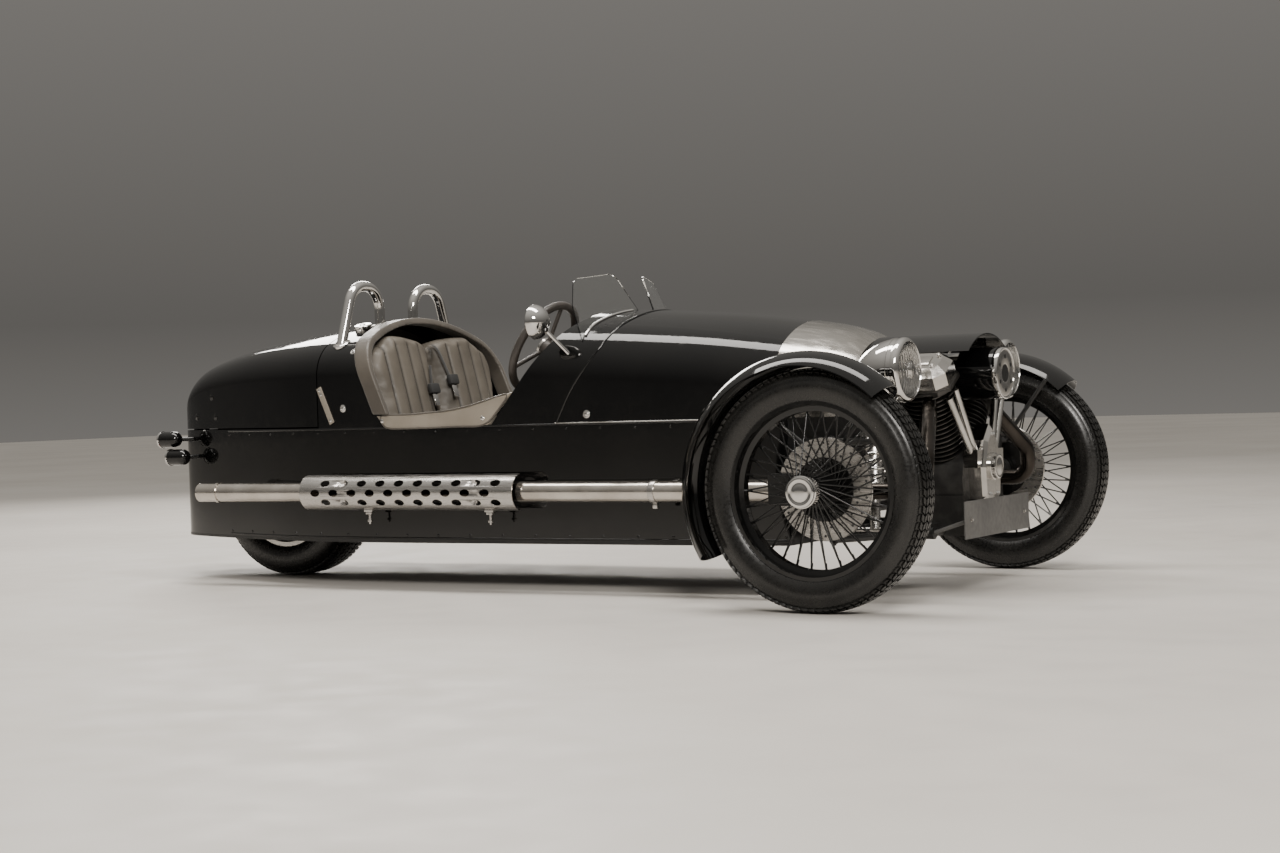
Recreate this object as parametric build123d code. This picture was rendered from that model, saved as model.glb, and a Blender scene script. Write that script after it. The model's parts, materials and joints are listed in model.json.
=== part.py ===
from build123d import *
from collections import namedtuple
from functools import cache
from math import atan2, cos, radians, sin, sqrt
import os

# Three wheeled car. Millimetres, X forward, Y to the left, Z up, ground at Z = 0.
# A "back" value is a distance behind the front axle.

# Wheels and stance
FRONT_AXLE_X = 1312.0
WHEELBASE = 2450.0
TRACK = 1464.0
FRONT_TYRE_R = 339.0
FRONT_TYRE_W = 106.0
RIM_FLANGE_R = 254.0
RIM_WELL_R = 224.0
RIM_W = 78.0
RIM_WALL = 4.0
HUB_R = 38.0
HUB_CAP_R = 43.0
HUB_OUT = 107.0
HUB_IN = 66.0
CAP_LENGTH = 22.0
SPOKE_R = 2.2
SPOKES_A_SIDE = 30
HUB_FLANGE_R = 54.0
HUB_FLANGE_T = 5.0
HUB_FLANGE_IN = 30.0
SPOKE_OUT = 60.0
SPOKE_LACE = 36.0
DISC_R = 144.0
DISC_T = 8.0
DISC_IN = 52.0
REAR_TYRE_R = 311.0
REAR_TYRE_W = 195.0
REAR_RIM_R = 205.0
REAR_HUB_R = 48.0
REAR_HUB_W = 120.0

# Body form: stations along the outer surface
Station = namedtuple("Station", "back half_width top shoulder crown")
BODY_STATIONS = [
    Station(110.0, 250.0, 770.0, 150.0, 330.0),
    Station(227.0, 292.0, 814.0, 165.0, 400.0),
    Station(347.0, 316.0, 835.0, 175.0, 450.0),
    Station(541.0, 334.0, 862.0, 185.0, 500.0),
    Station(759.0, 346.0, 882.0, 190.0, 550.0),
    Station(1060.0, 356.0, 901.0, 190.0, 600.0),
    Station(1450.0, 372.0, 908.0, 170.0, 650.0),
    Station(1850.0, 382.0, 899.0, 135.0, 700.0),
    Station(2193.0, 350.0, 875.0, 125.0, 700.0),
    Station(2425.0, 292.0, 845.0, 115.0, 650.0),
    Station(2664.0, 218.0, 800.0, 95.0, 450.0),
    Station(2800.0, 165.0, 750.0, 80.0, 300.0),
    Station(2865.0, 126.0, 698.0, 65.0, 200.0),
    Station(2900.0, 74.0, 636.0, 40.0, 120.0),
]
BODY_WALL = 6.0
BODY_BOTTOM = 150.0
WAIST_Z = 535.0
FLOOR_T = 10.0
TUB_FRONT_BACK = 300.0
TAIL_SPLIT_BACK = 2560.0
BAND_REAR_BACK = 338.0
BONNET_SEAM_BACK = 1089.0
BONNET_SEAM_LEAN = 0.37
SCUTTLE_EDGE_BACK = 1337.0
SCUTTLE_EDGE_LEAN = 0.82
ARCH_BACK = 1722.0
ARCH_LEAN = -0.43
LID_SEAM_BACK = 2046.0
LID_GAP = 5.0
LID_HINGE_BACK = 2911.0
HINGE_PIN_R = 4.0
HINGE_EYE_R = 8.0
HINGE_GAP = 1.5
HINGE_PITCH = 14.0
LID_HINGE_Z = 539.0
REGION = 1200.0

# Cockpit
ROLL_T = 12.0
ROLL_LINING = 4.0
ROLL_LIP = 4.0
ROLL_WIDE = 58.0
ROLL_LOW_Z = 576.0
PAD_T = 12.0
PAD_RAISE = 4.0
PAD_LOW_Z = 528.0
PAD_SHAPE = [
    (1353.0, PAD_LOW_Z),
    (1252.0, 640.0),
    (1400.0, 602.0),
    (1530.0, 582.0),
    (1650.0, 573.0),
    (1790.0, 573.0),
    (1750.0, PAD_LOW_Z),
]
DASH_BACK = 1075.0
DASH_T = 8.0
DASH_LOW_Z = 660.0
TUNNEL_HALF_W = 62.0
TUNNEL_TOP = 330.0
TUNNEL_FRONT_BACK = 330.0
TUNNEL_REAR_BACK = 1640.0
SEAT_GAP = 6.0
SEAT_REST_T = 90.0
SEAT_TOP_Z = 850.0
SEAT_REST_BACK = 1700.0
SEAT_REST_LEAN = 0.27
SEAT_BEHIND_ARCH = 75.0
CUSHION_FRONT_BACK = 1270.0
CUSHION_TOP = 340.0
SCREEN_T = 5.0
SCREEN_FOOT_BACK = 1011.0
SCREEN_FOOT_Y = 309.0
SCREEN_FOOT_Z = 796.0
SCREEN_TURN = 20.0
SCREEN_RAKE = 22.0
SCREEN_SINK = 60.0
SCREEN_OUTLINE = [(-6.0, 118.0), (28.0, 215.0), (200.0, 236.0), (262.0, 100.0)]
SCREEN_CORNER_R = 36.0
MIRROR_R = 56.0
MIRROR_DEPTH = 46.0
MIRROR_Y = 420.0
MIRROR_Z = 856.0
MIRROR_BACK = 1121.0
MIRROR_ARM_R = 6.0
MIRROR_FOOT_BACK = 1046.0
MIRROR_FOOT_Y = 325.0
MIRROR_FOOT_Z = 742.0
HOOP_BACK = 1983.0
HOOP_OUTER_Y = 318.0
HOOP_OUTER_LEAN = 0.34
HOOP_INNER_Y = 96.0
HOOP_FOOT_Z = 800.0
HOOP_LOW_Z = 732.0
HOOP_TUBE_R = 18.0
HOOP_BEND = 78.0
HOOP_TOP = 1037.0
FILLER_BACK = 1985.0
FILLER_Y = 186.0
FILLER_TILT = 15.4
FILLER_R = 29.0
FILLER_H = 20.0

# Steering
KINGPIN_Y = 630.0
STEER_ARM_BACK = 120.0
STEER_ARM_Y = 602.0
ARM_Z = 236.0
TIE_ROD_Z = 262.0
RACK_R = 11.0
RACK_CASE_R = 22.0
RACK_CASE_HALF = 205.0
RUNNING = 0.05
EYE_R = 15.0
EYE_T = 28.0
WHEEL_CENTRE_BACK = 1236.0
WHEEL_CENTRE_Y = -196.0
WHEEL_CENTRE_Z = 782.0
WHEEL_R = 165.0
WHEEL_RIM_R = 13.0
WHEEL_TILT = 29.5
COLUMN_R = 19.0
COLUMN_FRONT_BACK = 306.0
STEER_HUB_R = 30.0
STEER_HUB_T = 24.0

# Running gear at the front
UPRIGHT_R = 17.0
LOWER_BALL_Z = 214.0
UPPER_BALL_Z = 452.0
BALL_R = 15.0
BALL_PIN_R = 6.0
BALL_DROP = 18.0
SPINDLE_R = 15.0
FRAME_TUBE_R = 19.0
LOWER_RAIL_Y = 200.0
LOWER_RAIL_Z = 185.0
UPPER_RAIL_Y = 226.0
UPPER_RAIL_Z = 455.0
RAIL_FRONT = 122.0
LOWER_PIVOT_X = 100.0
UPPER_PIVOT_X = 92.0
ARM_TUBE_R = 11.0
COIL_R = 29.0
DAMPER_R = 16.0
COIL_FOOT_Y = 352.0
TOWER_Y = 268.0
TOWER_Z = 520.0
TOWER_BACK = 34.0

# Front wings
WING_R = 387.0
WING_SHIFT = 27.0
WING_HALF_W = 80.0
WING_CROWN = 40.0
WING_T = 3.0
WING_FRONT_ANGLE = 47.0
WING_REAR_ANGLE = 211.0
STAY_R = 7.0
STAY_ANGLES = (56.0, 132.0)
STAY_KNEE_SHARE = 0.12

# Engine
CRANK_Z = 330.0
ENGINE_X = 96.0
CYLINDER_ANGLE = 31.0
CASE_R = 118.0
CASE_HALF_L = 84.0
BARREL_R = 50.0
BARREL_FIN_R = 70.0
HEAD_FIN_R = 84.0
BARREL_START = 112.0
BARREL_LENGTH = 150.0
HEAD_LENGTH = 92.0
FIN_T = 3.2
BARREL_FINS = 10
HEAD_FINS = 6
ROCKER_L = 176.0
ROCKER_W = 132.0
ROCKER_H = 68.0
ROCKER_CHAMFER = 22.0
ROCKER_CORNER = 30.0
ROCKER_BASE_T = 12.0
ROCKER_BASE_LIP = 6.0
TIMING_X = 181.0
TIMING_T = 52.0
TIMING_OUTLINE = [
    (-62.0, 276.0),
    (62.0, 276.0),
    (72.0, 372.0),
    (46.0, 452.0),
    (0.0, 500.0),
    (-46.0, 452.0),
    (-72.0, 372.0),
]
TAPPET_Y0 = 36.0
TAPPET_Y1 = 104.0
TAPPET_Z0 = 372.0
TAPPET_Z1 = 424.0
PUSHROD_R = 11.0
CLEANER_R = 79.0
CLEANER_X0 = 152.0
CLEANER_X1 = 262.0
CLEANER_Z = 650.0
INTAKE_R = 26.0
COVER_X0 = -118.0
COVER_X1 = 226.0
COVER_TOP = 772.0
COVER_HALF_W = 160.0
COVER_DROP = 54.0
COVER_T = 3.0

# Exhausts
PIPE_Y = 420.0
PIPE_Z = 320.0
PIPE_R = 32.5
PIPE_WALL = 2.5
PIPE_END_BACK = 2540.0
TIP_LENGTH = 80.0
TIP_COLLAR_R = 35.5
TIP_COLLAR_L = 12.0
HEADER_R = 24.0
HEADER_JOIN_BACK = 120.0
HEADER_BEND = 52.0
HEADER_OUT_X = 92.0
HEADER_TURN_Z = 92.0
PIPE_BRACKETS = [760.0, 1620.0, 2330.0]
SHIELD_R = 60.0
SHIELD_T = 2.5
SHIELD_FRONT_BACK = 1190.0
SHIELD_REAR_BACK = 2050.0
SHIELD_TIES = [1350.0, 1880.0]
SHIELD_HOLE_R = 11.0
SHIELD_HOLES = 10
SHIELD_MARGIN = 48.0
SHIELD_ROWS = (-32.0, 0.0, 32.0)

# Lamps and plates
HEADLAMP_R = 91.0
HEADLAMP_Y = 400.0
HEADLAMP_Z = 666.0
HEADLAMP_X = 128.0
HEADLAMP_L = 158.0
LENS_T = 10.0
BULLET_NOSE = 0.12
BULLET_BEVEL = 0.6
BULLET_FULL_R = 0.8
BULLET_FULL_Z = 0.57
MIRROR_GLASS_T = 4.0
PLATE_W = 520.0
PLATE_H = 110.0
PLATE_T = 3.0
PLATE_X = 243.0
PLATE_Z = 225.0
LID_LAMP_R = 34.0
LID_LAMP_L = 46.0
LID_LAMP_Z = 596.0
TailLamp = namedtuple("TailLamp", "back y z")
TAIL_LAMPS = [TailLamp(2862.0, 222.0, 503.0), TailLamp(2812.0, 236.0, 439.0)]
TAIL_LAMP_R = 29.0
TAIL_LAMP_L = 78.0

# Rear drive
SWING_PIVOT_BACK = 2078.0
SWING_PIVOT_Z = 268.0
SWING_ARM_Y = 128.0
SWING_ARM_R = 17.0
SWING_PIVOT_R = 20.0
SWING_LUG_R = 28.0
SWING_LUG_T = 16.0
REAR_AXLE_R = 14.0
SLOT_FRONT_BACK = 2100.0
SLOT_REAR_BACK = 2790.0
SLOT_HALF_W = 152.0
HUMP_R = 350.0
HUMP_T = 3.0
HUMP_HALF_W = 128.0
BOOT_Z = 470.0
BOOT_T = 4.0

SIDES = (-1.0, 1.0)


def x_at(back):
    """The X of a place a distance behind the front axle."""
    return FRONT_AXLE_X - back


def block(x0, x1, y0, y1, z0, z1):
    """A plain block between two corners."""
    low = (min(x0, x1), min(y0, y1), min(z0, z1))
    size = (abs(x1 - x0), abs(y1 - y0), abs(z1 - z0))
    return Pos(*low) * Box(*size, align=(Align.MIN, Align.MIN, Align.MIN))


def rod(start, end, radius):
    """A round bar between two points."""
    axis = Vector(*end) - Vector(*start)
    plane = Plane(origin=start, z_dir=axis)
    return plane * Cylinder(radius, axis.length, align=(Align.CENTER, Align.CENTER, Align.MIN))


def ball(centre, radius):
    """A ball at a point."""
    return Pos(*centre) * Sphere(radius)


def bullet(radius, depth, front):
    """A bowl with a domed back and a shallow front, its opening towards minus Z."""
    nose = radius * BULLET_NOSE
    bevel = radius - front * BULLET_BEVEL
    back = ThreePointArc((nose, depth), (radius * BULLET_FULL_R, depth * BULLET_FULL_Z), (radius, 0))
    face = make_face([
        Line((0, -front), (0, depth)),
        Line((0, depth), (nose, depth)),
        back,
        Line((radius, 0), (bevel, -front)),
        Line((bevel, -front), (0, -front)),
    ])
    return revolve(Plane.XZ * face, Axis.Z)


def bent_bar(points, radius, bend):
    """A round bar along straight runs joined by bends."""
    path = FilletPolyline(*points, radius=bend)
    plane = Plane(origin=path @ 0, z_dir=path % 0)
    return sweep(plane * Circle(radius), path=path)


def side_prism(points, half_width):
    """A prism across the car from (X, Z) corners."""
    face = make_face(Plane.XZ * Polyline(*points, close=True))
    return extrude(face, amount=half_width, both=True)


def mirrored(shape):
    """The same shape on the other side of the car."""
    return shape.mirror(Plane.XZ)


def joined(shapes):
    """All the shapes fused into one."""
    result = shapes[0]
    for shape in shapes[1:]:
        result = result + shape
    return result


def body_section(station, inset):
    """The outline of the body at one station, a three-arc dome on upright sides."""
    wide = station.half_width - inset
    shoulder = station.shoulder - inset
    crown = station.crown - inset
    low = BODY_BOTTOM + inset
    crown_z = station.top - station.crown
    side_z = crown_z + sqrt((crown - shoulder) ** 2 - (wide - shoulder) ** 2)
    turn = atan2(wide - shoulder, side_z - crown_z)

    def on_shoulder(angle):
        return (wide - shoulder + shoulder * sin(angle), side_z + shoulder * cos(angle))

    meet = on_shoulder(turn)
    middle = on_shoulder((turn + radians(90)) / 2)
    edges = [
        Line((wide, low), (wide, side_z)),
        ThreePointArc((wide, side_z), middle, meet),
        ThreePointArc(meet, (0, crown_z + crown), (-meet[0], meet[1])),
        ThreePointArc((-meet[0], meet[1]), (-middle[0], middle[1]), (-wide, side_z)),
        Line((-wide, side_z), (-wide, low)),
        Line((-wide, low), (wide, low)),
    ]
    plane = Plane(origin=(x_at(station.back), 0, 0), x_dir=(0, 1, 0), z_dir=(1, 0, 0))
    return plane * make_face(edges)


def body_solid(stations, inset):
    """A solid through the stations, set in from the outer surface."""
    return loft([body_section(station, inset) for station in stations])


def inner_stations():
    """The stations of the hollow, run out at the nose and short of the tail."""
    first = BODY_STATIONS[0]
    last = BODY_STATIONS[-1]
    before = BODY_STATIONS[-2]
    share = BODY_WALL / (last.back - before.back)
    end = Station(*[near + share * (far - near) for near, far in zip(last, before)])
    end = end._replace(back=last.back - BODY_WALL)
    return [first] + BODY_STATIONS[1:-1] + [end]


def leaning_cut(back, lean, front):
    """Everything in front of, or behind, a plane that leans with height."""
    reach = REGION * 4
    foot = x_at(back)
    top = WAIST_Z + REGION
    low = WAIST_Z - REGION
    edge = [(foot + lean * (low - WAIST_Z), low), (foot + lean * (top - WAIST_Z), top)]
    far = foot + reach if front else foot - reach
    return side_prism([edge[0], edge[1], (far, top), (far, low)], REGION)


def above(z):
    """Everything above a height."""
    return block(-4 * REGION, 4 * REGION, -REGION, REGION, z, z + 2 * REGION)


def below(z):
    """Everything below a height."""
    return block(-4 * REGION, 4 * REGION, -REGION, REGION, z - 2 * REGION, z)


OUTER = body_solid(BODY_STATIONS, 0.0)
HOLLOW = body_solid(inner_stations(), BODY_WALL)
SKIN = OUTER - HOLLOW


def half_width_at(back):
    """The half width of the body between stations, on a straight line."""
    for near, far in zip(BODY_STATIONS, BODY_STATIONS[1:]):
        if near.back <= back <= far.back:
            share = (back - near.back) / (far.back - near.back)
            return near.half_width + share * (far.half_width - near.half_width)
    raise ValueError(back)


def deck_height(back, y):
    """The height of the crown between stations, at a place beside the middle."""
    for near, far in zip(BODY_STATIONS, BODY_STATIONS[1:]):
        if near.back <= back <= far.back:
            share = (back - near.back) / (far.back - near.back)
            top = near.top + share * (far.top - near.top)
            crown = near.crown + share * (far.crown - near.crown)
            return top - crown + sqrt(crown ** 2 - y ** 2)
    raise ValueError(back)


# Body


@cache
def tub_sides():
    """The two upright sides of the tub."""
    band = SKIN & below(WAIST_Z) & above(BODY_BOTTOM + FLOOR_T)
    band = band & block(x_at(TAIL_SPLIT_BACK), x_at(TUB_FRONT_BACK), -REGION, REGION, 0, REGION)
    return band


def hinge_eye(slot, low_z, high_z):
    """One eye of the lid hinge, the slots counted outwards from the middle."""
    x = x_at(LID_HINGE_BACK)
    end_x = x_at(BODY_STATIONS[-1].back) + BODY_WALL / 2
    y0 = (slot - 0.5) * HINGE_PITCH + HINGE_GAP / 2
    y1 = (slot + 0.5) * HINGE_PITCH - HINGE_GAP / 2
    eye = rod((x, y0, LID_HINGE_Z), (x, y1, LID_HINGE_Z), HINGE_EYE_R)
    return eye + block(x - HINGE_EYE_R / 2, end_x, y0, y1, low_z, high_z)


def tub_tail():
    """The rounded tail of the tub with the hinge pin."""
    band = SKIN & below(WAIST_Z) & above(BODY_BOTTOM + FLOOR_T)
    band = band & block(-REGION * 3, x_at(TAIL_SPLIT_BACK), -REGION, REGION, 0, REGION)
    for slot in (-2, 0, 2):
        band = band + hinge_eye(slot, LID_HINGE_Z - 3 * HINGE_EYE_R, WAIST_Z - 1)
    reach = 2.5 * HINGE_PITCH
    x = x_at(LID_HINGE_BACK)
    return band + rod((x, -reach, LID_HINGE_Z), (x, reach, LID_HINGE_Z), HINGE_PIN_R)


def tub_floor():
    """The flat floor, slotted for the rear wheel."""
    floor = OUTER & below(BODY_BOTTOM + FLOOR_T)
    floor = floor & block(-REGION * 3, x_at(TUB_FRONT_BACK), -REGION, REGION, 0, REGION)
    slot = block(x_at(SLOT_FRONT_BACK), x_at(SLOT_REAR_BACK), -SLOT_HALF_W, SLOT_HALF_W, 0, REGION)
    return floor - slot


@cache
def front_bulkhead():
    """The wall between the cockpit and the running gear."""
    x0 = x_at(TUB_FRONT_BACK)
    wall = HOLLOW & block(x0 - BODY_WALL, x0, -REGION, REGION, BODY_BOTTOM + FLOOR_T, REGION)
    return wall


@cache
def bonnet_band():
    """The polished band at the nose of the cowl."""
    return SKIN & above(WAIST_Z) & block(x_at(BAND_REAR_BACK), REGION * 3, -REGION, REGION, 0, REGION)


def bonnet():
    """The fixed bonnet between the band and the scuttle."""
    panel = SKIN & above(WAIST_Z)
    panel = panel & block(-REGION * 3, x_at(BAND_REAR_BACK), -REGION, REGION, 0, REGION)
    return panel & leaning_cut(BONNET_SEAM_BACK, BONNET_SEAM_LEAN, True)


@cache
def scuttle():
    """The panel that carries the screens."""
    panel = SKIN & above(WAIST_Z)
    panel = panel & leaning_cut(BONNET_SEAM_BACK, BONNET_SEAM_LEAN, False)
    return panel & leaning_cut(SCUTTLE_EDGE_BACK, SCUTTLE_EDGE_LEAN, True)


@cache
def rear_deck():
    """The fixed deck between the cockpit and the tail lid."""
    panel = SKIN & above(WAIST_Z)
    panel = panel & leaning_cut(ARCH_BACK, ARCH_LEAN, False)
    return panel & block(x_at(LID_SEAM_BACK), REGION * 3, -REGION, REGION, 0, REGION)


def tail_lid():
    """The lid over the tail."""
    panel = SKIN & above(WAIST_Z + LID_GAP)
    panel = panel & block(-REGION * 3, x_at(LID_SEAM_BACK) - LID_GAP, -REGION, REGION, 0, REGION)
    for slot in (-1, 1):
        panel = panel + hinge_eye(slot, WAIST_Z + LID_GAP + 1, WAIST_Z + LID_GAP + HINGE_EYE_R)
    x = x_at(LID_HINGE_BACK)
    return panel - rod((x, -REGION, LID_HINGE_Z), (x, REGION, LID_HINGE_Z), HINGE_PIN_R + RUNNING)


def lid_lamp():
    """The round lamp on the end of the lid."""
    end_x = x_at(BODY_STATIONS[-1].back)
    start = (end_x + BODY_WALL, 0, LID_LAMP_Z)
    lamp = rod(start, (end_x - LID_LAMP_L, 0, LID_LAMP_Z), LID_LAMP_R)
    return lamp - OUTER


@cache
def boot_wall():
    """The wall between the seats and the boot."""
    x0 = x_at(LID_SEAM_BACK)
    return HOLLOW & block(x0, x0 + BOOT_T, -REGION, REGION, BODY_BOTTOM + FLOOR_T, REGION)


@cache
def boot_floor():
    """The boot floor with the hump over the rear wheel."""
    x0 = x_at(LID_SEAM_BACK)
    plate = HOLLOW & block(x0, -REGION * 3, -REGION, REGION, BOOT_Z - BOOT_T, BOOT_Z)
    axle = (x_at(WHEELBASE), 0, REAR_TYRE_R)
    drum = rod((axle[0], -HUMP_HALF_W, axle[2]), (axle[0], HUMP_HALF_W, axle[2]), HUMP_R)
    room = HUMP_HALF_W - HUMP_T
    well = rod((axle[0], -room, axle[2]), (axle[0], room, axle[2]), HUMP_R - HUMP_T)
    hump = (drum - well) & above(BOOT_Z - BOOT_T)
    return (plate - well) + hump


def dashboard():
    """The flat instrument panel under the scuttle."""
    x0 = x_at(DASH_BACK)
    panel = HOLLOW & block(x0, x0 + DASH_T, -REGION, REGION, DASH_LOW_Z, REGION)
    return panel - steering_column()



@cache
def cockpit_roll():
    """The padded band over the front edge of the deck."""
    stations = [s for s in BODY_STATIONS if 1400.0 < s.back < 2300.0]
    outside = body_solid(stations, -ROLL_T)
    inside = body_solid(stations, BODY_WALL + ROLL_LINING)
    strip = leaning_cut(ARCH_BACK - ROLL_LIP, ARCH_LEAN, False)
    strip = strip & leaning_cut(ARCH_BACK + ROLL_WIDE, ARCH_LEAN, True)
    return ((outside - inside) & strip & above(ROLL_LOW_Z)) - rear_deck()


def side_pads():
    """The leather pads over the low sides of the cockpit."""
    stations = [s for s in BODY_STATIONS if 1000.0 < s.back < 2200.0]
    outside = body_solid(stations, -PAD_RAISE)
    inside = body_solid(stations, PAD_T - PAD_RAISE)
    region = side_prism([(x_at(back), z) for back, z in PAD_SHAPE], REGION)
    pads = ((outside - inside) & region) & block(-REGION, REGION, -REGION, REGION, PAD_LOW_Z, REGION)
    return pads - tub_sides() - scuttle() - rear_deck() - cockpit_roll()


def tunnel():
    """The tunnel between the seats with the gear lever and the hand brake."""
    top = TUNNEL_TOP
    shell = block(x_at(TUNNEL_REAR_BACK), x_at(TUNNEL_FRONT_BACK), -TUNNEL_HALF_W, TUNNEL_HALF_W,
                  BODY_BOTTOM + FLOOR_T, top)
    shell = fillet(shell.edges().filter_by(Axis.X).group_by(Axis.Z)[-1], 24.0)
    lever_x = x_at(1120.0)
    lever = rod((lever_x, 0, top - 5), (lever_x - 40, 0, top + 150), 7) + ball((lever_x - 42, 0, top + 165), 22)
    brake_x = x_at(1180.0)
    brake = rod((brake_x, 40, top - 5), (brake_x - 150, 40, top + 60), 9)
    return shell + lever + brake


def seat_backs():
    """Two leaning seat backs."""
    seats = []
    width = half_width_at(SEAT_REST_BACK) - BODY_WALL - 2 * SEAT_GAP
    for side in SIDES:
        low = CUSHION_TOP - 60
        run = SEAT_REST_LEAN * (SEAT_TOP_Z - low)
        x0 = x_at(SEAT_REST_BACK)
        shape = side_prism([(x0, low), (x0 - run, SEAT_TOP_Z), (x0 - run - SEAT_REST_T * 0.7, SEAT_TOP_Z),
                            (x0 - SEAT_REST_T, low)], REGION)
        shape = shape & block(-REGION * 2, REGION * 2, side * SEAT_GAP / 2, side * width, 0, REGION)
        seats.append(shape)
    inside = body_solid([s for s in BODY_STATIONS if 1400.0 < s.back < 2200.0], BODY_WALL + SEAT_GAP)
    behind_arch = inside & above(WAIST_Z) & leaning_cut(ARCH_BACK + SEAT_BEHIND_ARCH, ARCH_LEAN, True)
    inside = behind_arch + (inside & below(WAIST_Z))
    return (joined(seats) & inside) - cockpit_roll()


def seat_cushions():
    """Two seat cushions."""
    width = half_width_at(CUSHION_FRONT_BACK) - BODY_WALL - SEAT_GAP
    low = BODY_BOTTOM + FLOOR_T
    cushions = []
    for side in SIDES:
        x0 = x_at(CUSHION_FRONT_BACK)
        x1 = x_at(SEAT_REST_BACK)
        cushion = side_prism([(x0, low), (x0, CUSHION_TOP), (x1, CUSHION_TOP - 60), (x1, low)], REGION)
        cushion = cushion & block(-REGION * 2, REGION * 2, side * (TUNNEL_HALF_W + SEAT_GAP), side * width, 0, REGION)
        cushions.append(cushion)
    return joined(cushions)


def aero_screens():
    """Two small flat screens on the scuttle, turned outwards and raked."""
    turn = radians(SCREEN_TURN)
    rake = radians(SCREEN_RAKE)
    across = Vector(-sin(turn), cos(turn), 0)
    upwards = Vector(-sin(rake) * cos(turn), -sin(rake) * sin(turn), cos(rake))
    foot = (x_at(SCREEN_FOOT_BACK), SCREEN_FOOT_Y, SCREEN_FOOT_Z)
    plane = Plane(origin=foot, x_dir=-across, z_dir=(-across).cross(upwards))
    first = SCREEN_OUTLINE[0]
    last = SCREEN_OUTLINE[-1]
    corners = [(first[0], -SCREEN_SINK)] + SCREEN_OUTLINE + [(last[0], -SCREEN_SINK)]
    outline = make_face(Polyline(*corners, close=True))
    top = outline.vertices().sort_by(Axis.Y)[2:]
    pane = extrude(plane * fillet(top, SCREEN_CORNER_R), amount=SCREEN_T) - OUTER
    return pane + mirrored(pane)



def mirrors():
    """Two round mirrors on arms."""
    mirrors_made = []
    for side in SIDES:
        centre = (x_at(MIRROR_BACK), side * MIRROR_Y, MIRROR_Z)
        bowl = Plane(origin=centre, x_dir=(0, 1, 0), z_dir=(1, 0, 0)) * bullet(MIRROR_R, MIRROR_DEPTH, MIRROR_GLASS_T)
        foot = (x_at(MIRROR_FOOT_BACK), side * MIRROR_FOOT_Y, MIRROR_FOOT_Z)
        arm = rod((centre[0] + 10, centre[1], centre[2]), foot, MIRROR_ARM_R)
        mirrors_made.append((bowl + arm) - OUTER)
    return joined(mirrors_made)


def roll_hoops():
    """Two chromed hoops behind the seats, their outer legs leaning in."""
    x = x_at(HOOP_BACK)
    top = HOOP_TOP - HOOP_TUBE_R
    low = HOOP_LOW_Z
    outer_low = HOOP_OUTER_Y + HOOP_OUTER_LEAN * (HOOP_FOOT_Z - low)
    outer_top = HOOP_OUTER_Y - HOOP_OUTER_LEAN * (top - HOOP_FOOT_Z)
    points = [(x, outer_low, low), (x, outer_top, top), (x, HOOP_INNER_Y, top), (x, HOOP_INNER_Y, low)]
    hoop = bent_bar(points, HOOP_TUBE_R, HOOP_BEND) - OUTER
    return hoop + mirrored(hoop)


def filler_cap():
    """The fuel filler cap on the deck, between the legs of the right hoop."""
    tilt = radians(FILLER_TILT)
    crown = Vector(x_at(FILLER_BACK), -FILLER_Y, deck_height(FILLER_BACK, FILLER_Y))
    normal = Vector(0, -sin(tilt), cos(tilt))
    cap = rod(tuple(crown - normal * FILLER_R), tuple(crown + normal * FILLER_H), FILLER_R)
    return cap - OUTER


# Engine


def cylinder_frame(side):
    """The frame of one cylinder, its Z along the bore."""
    lean = radians(CYLINDER_ANGLE)
    axis = (0, side * sin(lean), cos(lean))
    return Plane(origin=(x_at(-ENGINE_X), 0, CRANK_Z), x_dir=(1, 0, 0), z_dir=axis)


def disc_at(frame, distance, radius, thickness):
    """A round slice along a frame's Z."""
    return frame * (Pos(0, 0, distance) * Cylinder(radius, thickness, align=(Align.CENTER, Align.CENTER, Align.MIN)))


@cache
def crankcase():
    """The crankcase with its mounting feet."""
    x0 = x_at(-ENGINE_X)
    case = rod((x0 - CASE_HALF_L, 0, CRANK_Z), (x0 + CASE_HALF_L, 0, CRANK_Z), CASE_R)
    feet = block(x0 - CASE_HALF_L, x0 + CASE_HALF_L, -CASE_R, CASE_R, LOWER_RAIL_Z - 15, CRANK_Z - 40)
    mounts = block(x0 - 40, x0 + 10, -LOWER_RAIL_Y, LOWER_RAIL_Y, LOWER_RAIL_Z, LOWER_RAIL_Z + 24)
    return case + feet + mounts - front_frame()


@cache
def cylinders():
    """The two finned barrels and heads."""
    made = []
    for side in SIDES:
        frame = cylinder_frame(side)
        barrel = disc_at(frame, BARREL_START - 30, BARREL_R, BARREL_LENGTH + 30)
        head_start = BARREL_START + BARREL_LENGTH
        head = disc_at(frame, head_start, BARREL_R + 12, HEAD_LENGTH)
        pitch = BARREL_LENGTH / BARREL_FINS
        for index in range(BARREL_FINS):
            barrel = barrel + disc_at(frame, BARREL_START + pitch * index, BARREL_FIN_R, FIN_T)
        pitch = HEAD_LENGTH / HEAD_FINS
        for index in range(HEAD_FINS):
            head = head + disc_at(frame, head_start + pitch * (index + 0.5), HEAD_FIN_R, FIN_T)
        base = Box(ROCKER_L + 2 * ROCKER_BASE_LIP, ROCKER_W + 2 * ROCKER_BASE_LIP, ROCKER_BASE_T,
                   align=(Align.CENTER, Align.CENTER, Align.MAX))
        base = chamfer(base.edges().filter_by(Axis.Z), ROCKER_CORNER)
        base = frame * (Pos(0, 0, head_start + HEAD_LENGTH) * base)
        made.append(barrel + head + base)
    return joined(made) - crankcase()


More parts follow.
